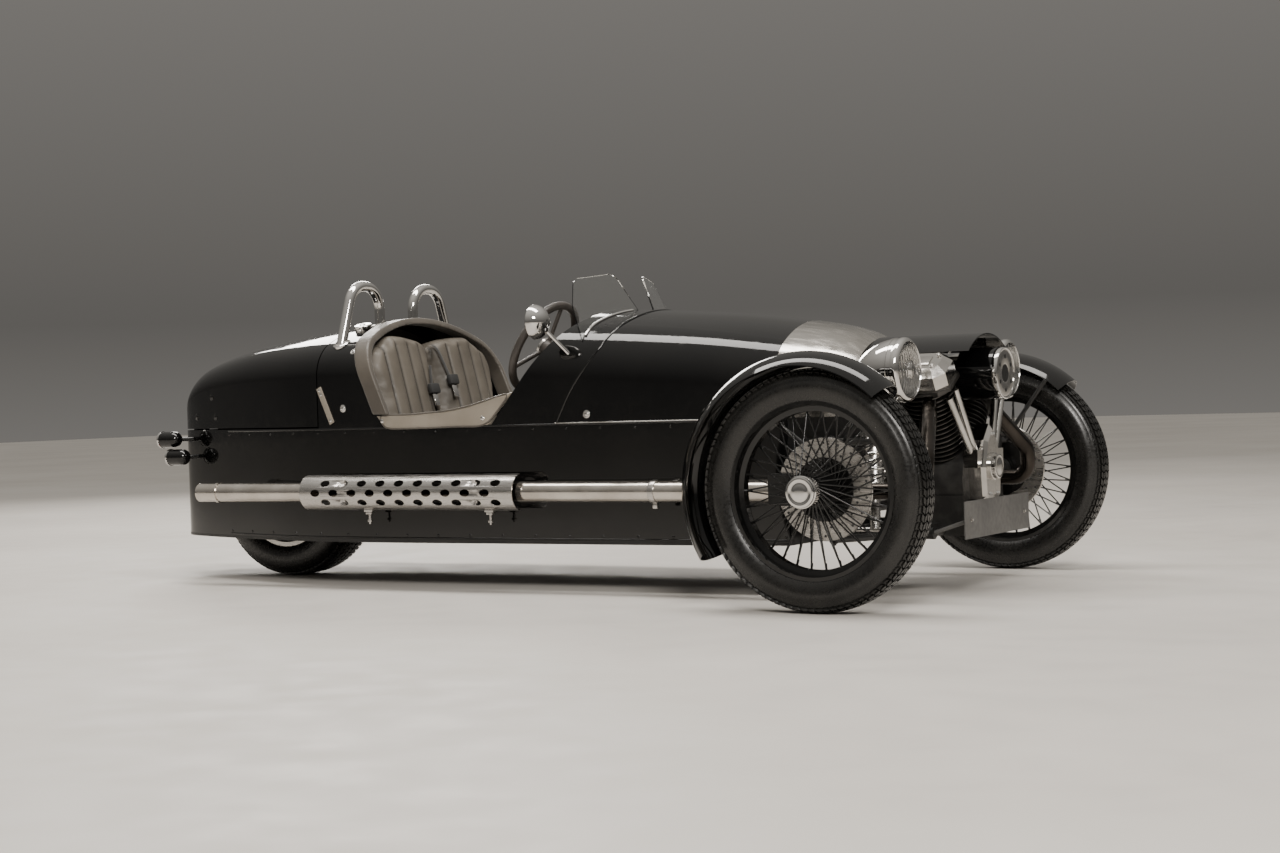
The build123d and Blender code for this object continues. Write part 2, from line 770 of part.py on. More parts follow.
@cache
def rocker_covers():
    """The two faceted rocker covers."""
    made = []
    for side in SIDES:
        frame = cylinder_frame(side)
        cover = Box(ROCKER_L, ROCKER_W, ROCKER_H, align=(Align.CENTER, Align.CENTER, Align.MIN))
        cover = chamfer(cover.edges().filter_by(Axis.Z), ROCKER_CORNER)
        cover = chamfer(cover.edges().group_by(Axis.Z)[-1], ROCKER_CHAMFER)
        start = BARREL_START + BARREL_LENGTH + HEAD_LENGTH
        made.append(frame * (Pos(0, 0, start) * cover))
    return joined(made)


@cache
def timing_cover():
    """The pointed cover at the front of the engine with its push rod tubes."""
    x0 = x_at(-TIMING_X) - 1
    outline = TIMING_OUTLINE
    face = Plane(origin=(x0, 0, 0), x_dir=(0, 1, 0), z_dir=(1, 0, 0)) * make_face(Polyline(*outline, close=True))
    cover = extrude(face, amount=TIMING_T)
    cover = chamfer(cover.faces().sort_by(Axis.X)[-1].edges(), 12.0)
    boss = rod((x0 + TIMING_T - 2, 0, 372), (x0 + TIMING_T + 18, 0, 372), 36)
    parts = [cover, boss]
    for side in SIDES:
        parts.append(block(x0 - 1, x0 + TIMING_T - 8, side * TAPPET_Y0, side * TAPPET_Y1, TAPPET_Z0, TAPPET_Z1))
        lean = radians(CYLINDER_ANGLE)
        for offset in (-24.0, 24.0):
            low = (x0 + 22, side * 70 + offset * 0.5, 400)
            reach = 225.0
            high = (x0 + 2, side * (70 + reach * sin(lean)) + offset, 400 + reach * cos(lean) - side * offset * sin(lean))
            parts.append(rod(low, high, PUSHROD_R))
    return joined(parts) - rocker_covers() - crankcase() - cylinders()


def air_cleaner():
    """The drum of the air cleaner with its intake."""
    x0 = x_at(-CLEANER_X0)
    x1 = x_at(-CLEANER_X1)
    drum = rod((x0, 0, CLEANER_Z), (x1, 0, CLEANER_Z), CLEANER_R)
    ring = rod((x1, 0, CLEANER_Z), (x1 + 14, 0, CLEANER_Z), CLEANER_R - 4)
    neck = rod((x_at(-ENGINE_X), 0, CLEANER_Z - 60), (x0 + 1, 0, CLEANER_Z), 34)
    cross = rod((x_at(-ENGINE_X), -84, CLEANER_Z - 60), (x_at(-ENGINE_X), 84, CLEANER_Z - 60), INTAKE_R)
    head_start = BARREL_START + BARREL_LENGTH
    heads = [disc_at(cylinder_frame(side), head_start - 30, HEAD_FIN_R, HEAD_LENGTH + 30) for side in SIDES]
    return drum + ring + neck + (cross - joined(heads)) - rocker_covers() - timing_cover() - cylinders()


def engine_cover():
    """The arched plate over the engine."""
    def arch(drop):
        low = COVER_TOP - COVER_DROP - drop
        arc = ThreePointArc((-COVER_HALF_W, low), (0, COVER_TOP - drop), (COVER_HALF_W, low))
        plane = Plane(origin=(x_at(-COVER_X0), 0, 0), x_dir=(0, 1, 0), z_dir=(1, 0, 0))
        face = plane * make_face([arc, Line((COVER_HALF_W, low), (-COVER_HALF_W, low))])
        return extrude(face, amount=COVER_X1 - COVER_X0)
    plate = arch(0.0) - arch(COVER_T)
    return plate - rocker_covers() - bonnet_band()


# Running gear


def frame_rails():
    """The four rails of the front frame, as bars."""
    rear = x_at(TUB_FRONT_BACK)
    bars = []
    for side in SIDES:
        bars.append(rod((rear, side * LOWER_RAIL_Y, LOWER_RAIL_Z),
                        (x_at(-RAIL_FRONT), side * LOWER_RAIL_Y, LOWER_RAIL_Z), FRAME_TUBE_R))
        bars.append(rod((rear, side * UPPER_RAIL_Y, UPPER_RAIL_Z),
                        (x_at(-RAIL_FRONT) - 20, side * UPPER_RAIL_Y, UPPER_RAIL_Z), ARM_TUBE_R + 3))
    return bars


@cache
def front_frame():
    """The tubes that carry the engine and the front wheels."""
    bars = frame_rails()
    for side in SIDES:
        low = (x_at(180), side * LOWER_RAIL_Y, LOWER_RAIL_Z)
        bars.append(rod(low, (x_at(180), side * UPPER_RAIL_Y, UPPER_RAIL_Z), ARM_TUBE_R))
        bars.append(rod((x_at(TOWER_BACK), side * UPPER_RAIL_Y, UPPER_RAIL_Z),
                        (x_at(TOWER_BACK), side * TOWER_Y, TOWER_Z + 16), ARM_TUBE_R))
        bars.append(rod((x_at(-LOWER_PIVOT_X), side * LOWER_RAIL_Y, LOWER_RAIL_Z),
                        (x_at(-UPPER_PIVOT_X), side * UPPER_RAIL_Y, UPPER_RAIL_Z), ARM_TUBE_R))
    for x in (x_at(180), x_at(-RAIL_FRONT) - 12):
        bars.append(rod((x, -LOWER_RAIL_Y, LOWER_RAIL_Z), (x, LOWER_RAIL_Y, LOWER_RAIL_Z), ARM_TUBE_R + 2))
    bars.append(rod((x_at(STEER_ARM_BACK), -RACK_CASE_HALF, TIE_ROD_Z),
                    (x_at(STEER_ARM_BACK), RACK_CASE_HALF, TIE_ROD_Z), RACK_CASE_R))
    for side in SIDES:
        bars.append(rod((x_at(STEER_ARM_BACK), side * LOWER_RAIL_Y * 0.9, TIE_ROD_Z),
                        (x_at(STEER_ARM_BACK), side * LOWER_RAIL_Y, LOWER_RAIL_Z), ARM_TUBE_R))
    bore = rod((x_at(STEER_ARM_BACK), -REGION, TIE_ROD_Z), (x_at(STEER_ARM_BACK), REGION, TIE_ROD_Z),
               RACK_R + RUNNING)
    return joined(bars) - bore


@cache
def wishbones():
    """Four wishbones between the frame and the uprights."""
    made = []
    for side in SIDES:
        low_tip = (x_at(0), side * KINGPIN_Y, LOWER_BALL_Z - BALL_DROP)
        high_tip = (x_at(0), side * KINGPIN_Y, UPPER_BALL_Z + BALL_DROP)
        arms = []
        for reach in (LOWER_PIVOT_X, -LOWER_PIVOT_X - 30):
            arms.append(rod((x_at(-reach), side * LOWER_RAIL_Y, LOWER_RAIL_Z), low_tip, ARM_TUBE_R))
        arms.append(ball(low_tip, BALL_R))
        made.append(joined(arms))
        arms = []
        for reach in (UPPER_PIVOT_X, -UPPER_PIVOT_X):
            arms.append(rod((x_at(-reach), side * UPPER_RAIL_Y, UPPER_RAIL_Z), high_tip, ARM_TUBE_R - 2))
        arms.append(ball(high_tip, BALL_R))
        made.append(joined(arms))
    holes = [rod((x_at(0), side * KINGPIN_Y, 0), (x_at(0), side * KINGPIN_Y, REGION), BALL_PIN_R + RUNNING) for side in SIDES]
    return joined(made) - front_frame() - joined(holes)


@cache
def coilovers():
    """Two coil-over units between the lower wishbones and the towers."""
    made = []
    for side in SIDES:
        foot = Vector(x_at(0), side * COIL_FOOT_Y, LOWER_BALL_Z - 10)
        head = Vector(x_at(TOWER_BACK), side * TOWER_Y, TOWER_Z)
        along = head - foot
        damper = rod(tuple(foot), tuple(head), DAMPER_R)
        coil = rod(tuple(foot + along * 0.3), tuple(foot + along * 0.88), COIL_R)
        pin = rod((x_at(60), foot.Y, foot.Z), (x_at(-60), foot.Y, foot.Z), 7)
        made.append(damper + coil + pin)
    return joined(made) - front_frame() - wishbones()


def upright():
    """One upright with its spindle, steering arm, caliper and wing stays."""
    y = KINGPIN_Y
    post = rod((x_at(0), y, LOWER_BALL_Z), (x_at(0), y, UPPER_BALL_Z), UPRIGHT_R)
    reach = BALL_DROP + BALL_R + 2
    post = post + rod((x_at(0), y, LOWER_BALL_Z - reach), (x_at(0), y, UPPER_BALL_Z + reach), BALL_PIN_R)
    hub_y = (TRACK / 2 - HUB_IN - 4)
    boss = rod((x_at(0), y, FRONT_TYRE_R), (x_at(0), hub_y, FRONT_TYRE_R), 34)
    spindle = rod((x_at(0), y, FRONT_TYRE_R), (x_at(0), (TRACK / 2 + 30), FRONT_TYRE_R), SPINDLE_R)
    arm_end = (x_at(STEER_ARM_BACK), STEER_ARM_Y, ARM_Z)
    arm = rod((x_at(0), y, ARM_Z), arm_end, 8)
    eye = rod((arm_end[0], arm_end[1], ARM_Z - 8), (arm_end[0], arm_end[1], ARM_Z + 8), EYE_R)
    disc_y = TRACK / 2 - DISC_IN
    cal = block(x_at(168), x_at(104), (disc_y - 26), (disc_y + 20), FRONT_TYRE_R - 45, FRONT_TYRE_R + 45)
    slot = rod((x_at(0), (disc_y - DISC_T / 2 - 5), FRONT_TYRE_R),
               (x_at(0), (disc_y + DISC_T / 2 + 5), FRONT_TYRE_R), DISC_R + 5)
    cal_arm = rod((x_at(0), y + 10, FRONT_TYRE_R), (x_at(125), (disc_y - 20), FRONT_TYRE_R), 12)
    stay_y = (TRACK / 2 - WING_HALF_W - 2)
    stays = []
    reach = WING_R - WING_CROWN
    for angle in STAY_ANGLES:
        back = WING_SHIFT - reach * cos(radians(angle))
        z = FRONT_TYRE_R + reach * sin(radians(angle))
        mid = (x_at(back * STAY_KNEE_SHARE), stay_y, UPPER_BALL_Z - 20)
        stays.append(rod((x_at(0), y, UPPER_BALL_Z - 20), mid, STAY_R + 2))
        stays.append(rod(mid, (x_at(back), stay_y, z), STAY_R))
        stays.append(ball(mid, STAY_R + 2))
    shape = joined([post, boss, spindle, arm, eye, cal_arm] + stays) + (cal - slot)
    return shape - wing()


@cache
def wing():
    """One crowned wing round a front wheel."""
    def band(radius):
        edge = radius - WING_CROWN
        arc = ThreePointArc((-WING_HALF_W, edge), (0, radius), (WING_HALF_W, edge))
        return [arc, Line((WING_HALF_W, edge), (WING_HALF_W, edge - WING_T)),
                ThreePointArc((WING_HALF_W, edge - WING_T), (0, radius - WING_T), (-WING_HALF_W, edge - WING_T)),
                Line((-WING_HALF_W, edge - WING_T), (-WING_HALF_W, edge))]
    face = Plane(origin=(0, 0, 0), x_dir=(0, 1, 0), z_dir=(0, 0, -1)) * make_face(band(WING_R))
    sweep_angle = WING_REAR_ANGLE - WING_FRONT_ANGLE
    ring = revolve(face, Axis.Y, -sweep_angle)
    ring = Rot(0, -WING_FRONT_ANGLE, 0) * ring
    return Pos(x_at(WING_SHIFT), TRACK / 2, FRONT_TYRE_R) * ring


def front_tyre():
    """One narrow front tyre."""
    ring = tyre_ring(FRONT_TYRE_R, FRONT_TYRE_W, RIM_FLANGE_R - 12, RIM_W - 2 * RIM_WALL - 2)
    ring = ring - rim_ring(RIM_FLANGE_R, RIM_WELL_R, RIM_W, RIM_WALL)
    return Pos(x_at(0), TRACK / 2, FRONT_TYRE_R) * ring


def tyre_ring(radius, width, bead_r, bead_w):
    """A tyre turned about Y."""
    shoulder = radius - 0.13 * width
    half = width / 2
    crown = half * 0.72
    belly = (radius + bead_r) / 2 - 4
    tread = ThreePointArc((-crown, shoulder), (0, radius), (crown, shoulder))
    right = ThreePointArc((crown, shoulder), (half, belly), (bead_w / 2, bead_r))
    base = Line((bead_w / 2, bead_r), (-bead_w / 2, bead_r))
    left = ThreePointArc((-bead_w / 2, bead_r), (-half, belly), (-crown, shoulder))
    face = Plane(origin=(0, 0, 0), x_dir=(0, 1, 0), z_dir=(0, 0, -1)) * make_face([tread, right, base, left])
    return revolve(face, Axis.Y, 360)


def rim_ring(flange_r, well_r, width, wall):
    """A wire wheel rim turned about Y."""
    half = width / 2
    lip = flange_r - 12
    outline = [(-half, flange_r), (-half + wall, flange_r), (-half + wall, lip), (-half * 0.4, lip - 2), (-half * 0.3, well_r),
               (half * 0.3, well_r), (half * 0.4, lip - 2), (half - wall, lip), (half - wall, flange_r), (half, flange_r),
               (half, lip - wall), (half * 0.45, lip - wall - 4), (half * 0.35, well_r - wall), (-half * 0.35, well_r - wall),
               (-half * 0.45, lip - wall - 4), (-half, lip - wall)]
    face = Plane(origin=(0, 0, 0), x_dir=(0, 1, 0), z_dir=(0, 0, -1)) * make_face(Polyline(*outline, close=True))
    return revolve(face, Axis.Y, 360)


def front_wheel():
    """One wire wheel with its hub, cap and brake disc."""
    rim = rim_ring(RIM_FLANGE_R, RIM_WELL_R, RIM_W, RIM_WALL)
    hub = rod((0, -HUB_IN, 0), (0, (HUB_OUT - CAP_LENGTH), 0), HUB_R)
    cap = rod((0, (HUB_OUT - CAP_LENGTH), 0), (0, HUB_OUT, 0), HUB_CAP_R)
    disc = rod((0, -(DISC_IN + DISC_T / 2), 0), (0, -(DISC_IN - DISC_T / 2), 0), DISC_R)
    spokes = []
    for index in range(SPOKES_A_SIDE):
        lacing = ((-HUB_FLANGE_IN, HUB_FLANGE_R - SPOKE_R, SPOKE_LACE), (SPOKE_OUT, HUB_R - SPOKE_R, -SPOKE_LACE))
        for y0, foot_r, turn in lacing:
            start = radians(360.0 * index / SPOKES_A_SIDE)
            end = start + radians(turn)
            tip_r = RIM_WELL_R - RIM_WALL / 2
            spokes.append(rod((foot_r * cos(start), y0, foot_r * sin(start)),
                              (tip_r * cos(end), 0, tip_r * sin(end)), SPOKE_R))
    flange_y = HUB_FLANGE_T / 2
    flange = rod((0, -HUB_FLANGE_IN - flange_y, 0), (0, -HUB_FLANGE_IN + flange_y, 0), HUB_FLANGE_R)
    body = rim + hub + flange + cap + disc + spokes
    bore = rod((0, -HUB_IN * 2, 0), (0, (30 + 6), 0), SPINDLE_R + RUNNING)
    return Pos(x_at(0), TRACK / 2, FRONT_TYRE_R) * (body - bore)


def rear_tyre():
    """The rear tyre."""
    ring = tyre_ring(REAR_TYRE_R, REAR_TYRE_W, REAR_RIM_R - 12, REAR_TYRE_W - 44)
    ring = ring - rim_ring(REAR_RIM_R, REAR_RIM_R - 34, REAR_TYRE_W - 30, RIM_WALL)
    return Pos(x_at(WHEELBASE), 0, REAR_TYRE_R) * ring


def rear_wheel():
    """The rear wheel disc and rim."""
    rim = rim_ring(REAR_RIM_R, REAR_RIM_R - 34, REAR_TYRE_W - 30, RIM_WALL)
    web = rod((0, -8, 0), (0, 8, 0), REAR_RIM_R - 36)
    hub = rod((0, -REAR_HUB_W / 2, 0), (0, REAR_HUB_W / 2, 0), REAR_HUB_R)
    bore = rod((0, -REAR_HUB_W, 0), (0, REAR_HUB_W, 0), REAR_AXLE_R + RUNNING)
    return Pos(x_at(WHEELBASE), 0, REAR_TYRE_R) * (rim + web + hub - bore)


def swing_arm():
    """The rear swing arm with its axle and pivot."""
    axle = x_at(WHEELBASE)
    pivot = x_at(SWING_PIVOT_BACK)
    bars = [rod((axle, -SWING_ARM_Y - 20, REAR_TYRE_R), (axle, SWING_ARM_Y + 20, REAR_TYRE_R), REAR_AXLE_R)]
    for side in SIDES:
        bars.append(rod((pivot, side * SWING_ARM_Y, SWING_PIVOT_Z), (axle, side * SWING_ARM_Y, REAR_TYRE_R), SWING_ARM_R))
        lug_y = (side * (SWING_ARM_Y - SWING_LUG_T), side * (SWING_ARM_Y + SWING_LUG_T))
        bars.append(rod((axle, lug_y[0], REAR_TYRE_R), (axle, lug_y[1], REAR_TYRE_R), SWING_LUG_R))
    bars.append(rod((pivot, -REGION, SWING_PIVOT_Z), (pivot, REGION, SWING_PIVOT_Z), SWING_PIVOT_R) & HOLLOW)
    return joined(bars)


def exhausts():
    """Two long side pipes with their headers and brackets."""
    made = []
    lean = radians(CYLINDER_ANGLE)
    port = BARREL_START + BARREL_LENGTH + HEAD_LENGTH * 0.4
    for side in SIDES:
        y = side * PIPE_Y
        straight = rod((x_at(HEADER_JOIN_BACK), y, PIPE_Z), (x_at(PIPE_END_BACK), y, PIPE_Z), PIPE_R)
        bore = rod((x_at(HEADER_JOIN_BACK + 60), y, PIPE_Z), (x_at(PIPE_END_BACK + 10), y, PIPE_Z), PIPE_R - PIPE_WALL)
        out = port * sin(lean)
        up = CRANK_Z + port * cos(lean)
        out_x = x_at(-ENGINE_X - HEADER_OUT_X)
        points = [(x_at(-ENGINE_X - 20), side * (out + 40), up), (out_x, side * (PIPE_Y - 15), PIPE_Z + HEADER_TURN_Z),
                  (out_x, y, PIPE_Z), (x_at(HEADER_JOIN_BACK + 20), y, PIPE_Z)]
        header = bent_bar(points, HEADER_R, HEADER_BEND)
        collar_x = x_at(PIPE_END_BACK) + TIP_LENGTH
        collar = rod((collar_x, y, PIPE_Z), (collar_x + TIP_COLLAR_L, y, PIPE_Z), TIP_COLLAR_R)
        pipe = straight + header + collar - bore
        for back in PIPE_BRACKETS:
            inner_y = side * (half_width_at(back) - BODY_WALL)
            pipe = pipe + (block(x_at(back) - 12, x_at(back) + 12, inner_y, side * (PIPE_Y - PIPE_R + 4),
                                 PIPE_Z - 12, PIPE_Z + 12) - bore)
        made.append(pipe)
    return joined(made) - OUTER - cylinders() - rocker_covers()


def heat_shields():
    """Two curved shields outside the pipes."""
    made = []
    for side in SIDES:
        y = side * PIPE_Y
        x0 = x_at(SHIELD_REAR_BACK)
        x1 = x_at(SHIELD_FRONT_BACK)
        shell = rod((x0, y, PIPE_Z), (x1, y, PIPE_Z), SHIELD_R) - rod((x0 - 5, y, PIPE_Z), (x1 + 5, y, PIPE_Z), SHIELD_R - SHIELD_T)
        shell = shell & block(x0, x1, side * (PIPE_Y + 12), side * REGION, 0, REGION)
        for back in SHIELD_TIES:
            tie = rod((x_at(back) - 10, y, PIPE_Z), (x_at(back) + 10, y, PIPE_Z), SHIELD_R - SHIELD_T + 0.5)
            tie = tie - rod((x_at(back) - 20, y, PIPE_Z), (x_at(back) + 20, y, PIPE_Z), PIPE_R)
            tie = tie & block(x0, x1, side * (PIPE_Y + 12), side * REGION, 0, REGION)
            shell = shell + tie
        pitch = (x1 - x0 - 2 * SHIELD_MARGIN) / SHIELD_HOLES
        holes = []
        for row, angle in enumerate(SHIELD_ROWS):
            reach_y = side * 2 * SHIELD_R * cos(radians(angle))
            reach_z = 2 * SHIELD_R * sin(radians(angle))
            shift = 0.25 if row % 2 else 0.75
            for index in range(SHIELD_HOLES):
                x = x0 + SHIELD_MARGIN + pitch * (index + shift)
                start = (x, y + 0.35 * reach_y, PIPE_Z + 0.35 * reach_z)
                holes.append(rod(start, (x, y + reach_y, PIPE_Z + reach_z), SHIELD_HOLE_R))
        made.append(shell - holes)
    return joined(made)


# Lamps, plate and steering


def headlamps():
    """Two bullet headlamps on arms."""
    made = []
    for side in SIDES:
        centre = (x_at(-HEADLAMP_X), side * HEADLAMP_Y, HEADLAMP_Z)
        bowl = Plane(origin=centre, x_dir=(0, 1, 0), z_dir=(-1, 0, 0)) * bullet(HEADLAMP_R, HEADLAMP_L, LENS_T)
        post = rod((x_at(-60), side * HEADLAMP_Y, HEADLAMP_Z - 40), (x_at(TOWER_BACK), side * TOWER_Y, TOWER_Z + 8), 11)
        made.append(bowl + post)
    return joined(made) - front_frame() - coilovers()


def front_plate():
    """The blank front plate with its brackets."""
    x = x_at(-PLATE_X)
    plate = block(x - PLATE_T, x, -PLATE_W / 2, PLATE_W / 2, PLATE_Z - PLATE_H / 2, PLATE_Z + PLATE_H / 2)
    for side in SIDES:
        plate = plate + rod((x_at(-RAIL_FRONT) - 2, side * LOWER_RAIL_Y, LOWER_RAIL_Z), (x - 1, side * LOWER_RAIL_Y, PLATE_Z), 6)
    return plate - front_frame()


def tail_lamps():
    """Four bullet tail lamps on arms."""
    made = []
    for side in SIDES:
        for lamp in TAIL_LAMPS:
            x = x_at(lamp.back)
            y = side * lamp.y
            bowl = rod((x - TAIL_LAMP_L / 2, y, lamp.z), (x + TAIL_LAMP_L / 2 - 20, y, lamp.z), TAIL_LAMP_R)
            bowl = bowl + Pos(x + TAIL_LAMP_L / 2 - 20, y, lamp.z) * Sphere(TAIL_LAMP_R)
            arm = rod((x, y, lamp.z), (x + 60, side * 150, lamp.z), 8)
            made.append(bowl + arm)
    return joined(made) - OUTER


def column_axis():
    """The direction of the steering column, forward and down."""
    tilt = radians(WHEEL_TILT)
    return Vector(cos(tilt), 0, -sin(tilt))


def wheel_centre():
    """The middle of the steering wheel."""
    return Vector(x_at(WHEEL_CENTRE_BACK), WHEEL_CENTRE_Y, WHEEL_CENTRE_Z)


@cache
def steering_column():
    """The column tube with its bracket to the dashboard."""
    centre = wheel_centre()
    axis = column_axis()
    start = centre + axis * (STEER_HUB_T + 12)
    reach = (x_at(COLUMN_FRONT_BACK) - start.X) / axis.X
    end = start + axis * reach
    tube = rod(tuple(start), tuple(end), COLUMN_R)
    return tube & block(-REGION, x_at(TUB_FRONT_BACK) - BODY_WALL, -REGION, REGION, 0, REGION)


def steering_wheel():
    """The steering wheel with three spokes."""
    centre = wheel_centre()
    axis = column_axis()
    plane = Plane(origin=tuple(centre), x_dir=(0, 1, 0), z_dir=tuple(axis))
    rim = RectangleRounded(2 * WHEEL_RIM_R, 2 * WHEEL_RIM_R - 1, WHEEL_RIM_R - 2)
    wheel = revolve(Plane.XZ * Pos(WHEEL_R - WHEEL_RIM_R, 0) * rim, Axis.Z)
    wheel = wheel + Cylinder(STEER_HUB_R, STEER_HUB_T, align=(Align.CENTER, Align.CENTER, Align.MIN))
    for angle in (90.0, 210.0, 330.0):
        turn = radians(angle)
        wheel = wheel + rod((0, 0, 10), ((WHEEL_R - WHEEL_RIM_R) * cos(turn), (WHEEL_R - WHEEL_RIM_R) * sin(turn), 0), 7)
    shaft = Cylinder(9, STEER_HUB_T + 12, align=(Align.CENTER, Align.CENTER, Align.MIN))
    return plane * (wheel + shaft)


def tie_rods():
    """The rack with the tie rods and their eyes."""
    x = x_at(STEER_ARM_BACK)
    bar = rod((x, -STEER_ARM_Y, TIE_ROD_Z), (x, STEER_ARM_Y, TIE_ROD_Z), RACK_R)
    for side in SIDES:
        y = side * STEER_ARM_Y
        low = ARM_Z + 8 + 1
        bar = bar + rod((x, y, low), (x, y, low + EYE_T), EYE_R)
    return bar


NODES = {
    "tub_sides": tub_sides,
    "tub_tail": tub_tail,
    "tub_floor": tub_floor,
    "front_bulkhead": front_bulkhead,
    "bonnet_band": bonnet_band,
    "bonnet": bonnet,
    "scuttle": scuttle,
    "rear_deck": rear_deck,
    "tail_lid": tail_lid,
    "lid_lamp": lid_lamp,
    "boot_wall": boot_wall,
    "boot_floor": boot_floor,
    "dashboard": dashboard,
    "cockpit_roll": cockpit_roll,
    "side_pads": side_pads,
    "tunnel": tunnel,
    "seat_backs": seat_backs,
    "seat_cushions": seat_cushions,
    "aero_screens": aero_screens,
    "mirrors": mirrors,
    "roll_hoops": roll_hoops,
    "filler_cap": filler_cap,
    "crankcase": crankcase,
    "cylinders": cylinders,
    "rocker_covers": rocker_covers,
    "timing_cover": timing_cover,
    "air_cleaner": air_cleaner,
    "engine_cover": engine_cover,
    "front_frame": front_frame,
    "wishbones": wishbones,
    "coilovers": coilovers,
    "upright_right": lambda: mirrored(upright()),
    "upright_left": upright,
    "wing_right": lambda: mirrored(wing()),
    "wing_left": wing,
    "front_tyre_right": lambda: mirrored(front_tyre()),
    "front_tyre_left": front_tyre,
    "front_wheel_right": lambda: mirrored(front_wheel()),
    "front_wheel_left": front_wheel,
    "rear_tyre": rear_tyre,
    "rear_wheel": rear_wheel,
    "swing_arm": swing_arm,
    "exhausts": exhausts,
    "heat_shields": heat_shields,
    "headlamps": headlamps,
    "front_plate": front_plate,
    "tail_lamps": tail_lamps,
    "steering_column": steering_column,
    "steering_wheel": steering_wheel,
    "tie_rods": tie_rods,
}


def main():
    """Build and write every node."""
    os.makedirs("parts", exist_ok=True)
    for name, make in NODES.items():
        export_step(make(), "parts/" + name + ".step")


if __name__ == "__main__":
    main()
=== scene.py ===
"""Dresses the three wheeled car: finishes, trim and light for its studio picture."""

import json
import logging
import math
from collections.abc import Callable, Iterator, Sequence
from contextlib import contextmanager
from dataclasses import dataclass, field
from enum import Enum

import bmesh
import bpy
from mathutils import Matrix, Vector

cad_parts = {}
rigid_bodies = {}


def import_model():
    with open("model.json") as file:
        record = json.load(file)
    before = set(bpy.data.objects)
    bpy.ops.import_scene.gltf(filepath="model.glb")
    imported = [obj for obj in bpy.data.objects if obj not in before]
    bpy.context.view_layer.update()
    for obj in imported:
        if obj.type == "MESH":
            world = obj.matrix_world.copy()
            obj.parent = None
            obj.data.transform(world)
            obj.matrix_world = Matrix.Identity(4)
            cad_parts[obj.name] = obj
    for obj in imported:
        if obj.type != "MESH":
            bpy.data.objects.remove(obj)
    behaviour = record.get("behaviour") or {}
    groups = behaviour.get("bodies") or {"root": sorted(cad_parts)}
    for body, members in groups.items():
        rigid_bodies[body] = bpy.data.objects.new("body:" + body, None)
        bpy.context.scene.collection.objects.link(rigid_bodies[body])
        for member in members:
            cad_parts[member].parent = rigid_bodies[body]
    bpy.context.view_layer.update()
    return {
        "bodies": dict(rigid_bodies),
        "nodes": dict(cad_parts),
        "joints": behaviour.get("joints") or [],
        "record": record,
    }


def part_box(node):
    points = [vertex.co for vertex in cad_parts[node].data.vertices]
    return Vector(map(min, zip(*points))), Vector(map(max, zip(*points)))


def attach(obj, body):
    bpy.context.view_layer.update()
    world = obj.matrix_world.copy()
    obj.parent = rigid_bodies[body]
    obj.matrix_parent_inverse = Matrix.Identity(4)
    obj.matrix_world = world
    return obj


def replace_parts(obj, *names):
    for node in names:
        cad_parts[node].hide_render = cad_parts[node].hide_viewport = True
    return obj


log = logging.getLogger("three_wheeler")

Colour = tuple[float, float, float]

# Named places, directions and tolerances, in metres
FRONT_AXLE_X = 1.312
ABOVE = 1.4
BELT_LEAN_DEG = -15.0
DOUBLES = 1e-5
FORWARD, BACKWARD, UP, DOWN = Vector((1, 0, 0)), Vector((-1, 0, 0)), Vector((0, 0, 1)), Vector((0, 0, -1))
SIDES = (("right", -1.0), ("left", 1.0))


class Pattern(Enum):
    """How a finish varies over its surface."""

    PLAIN = "plain"
    GRAIN = "grain"
    BRUSHED = "brushed"


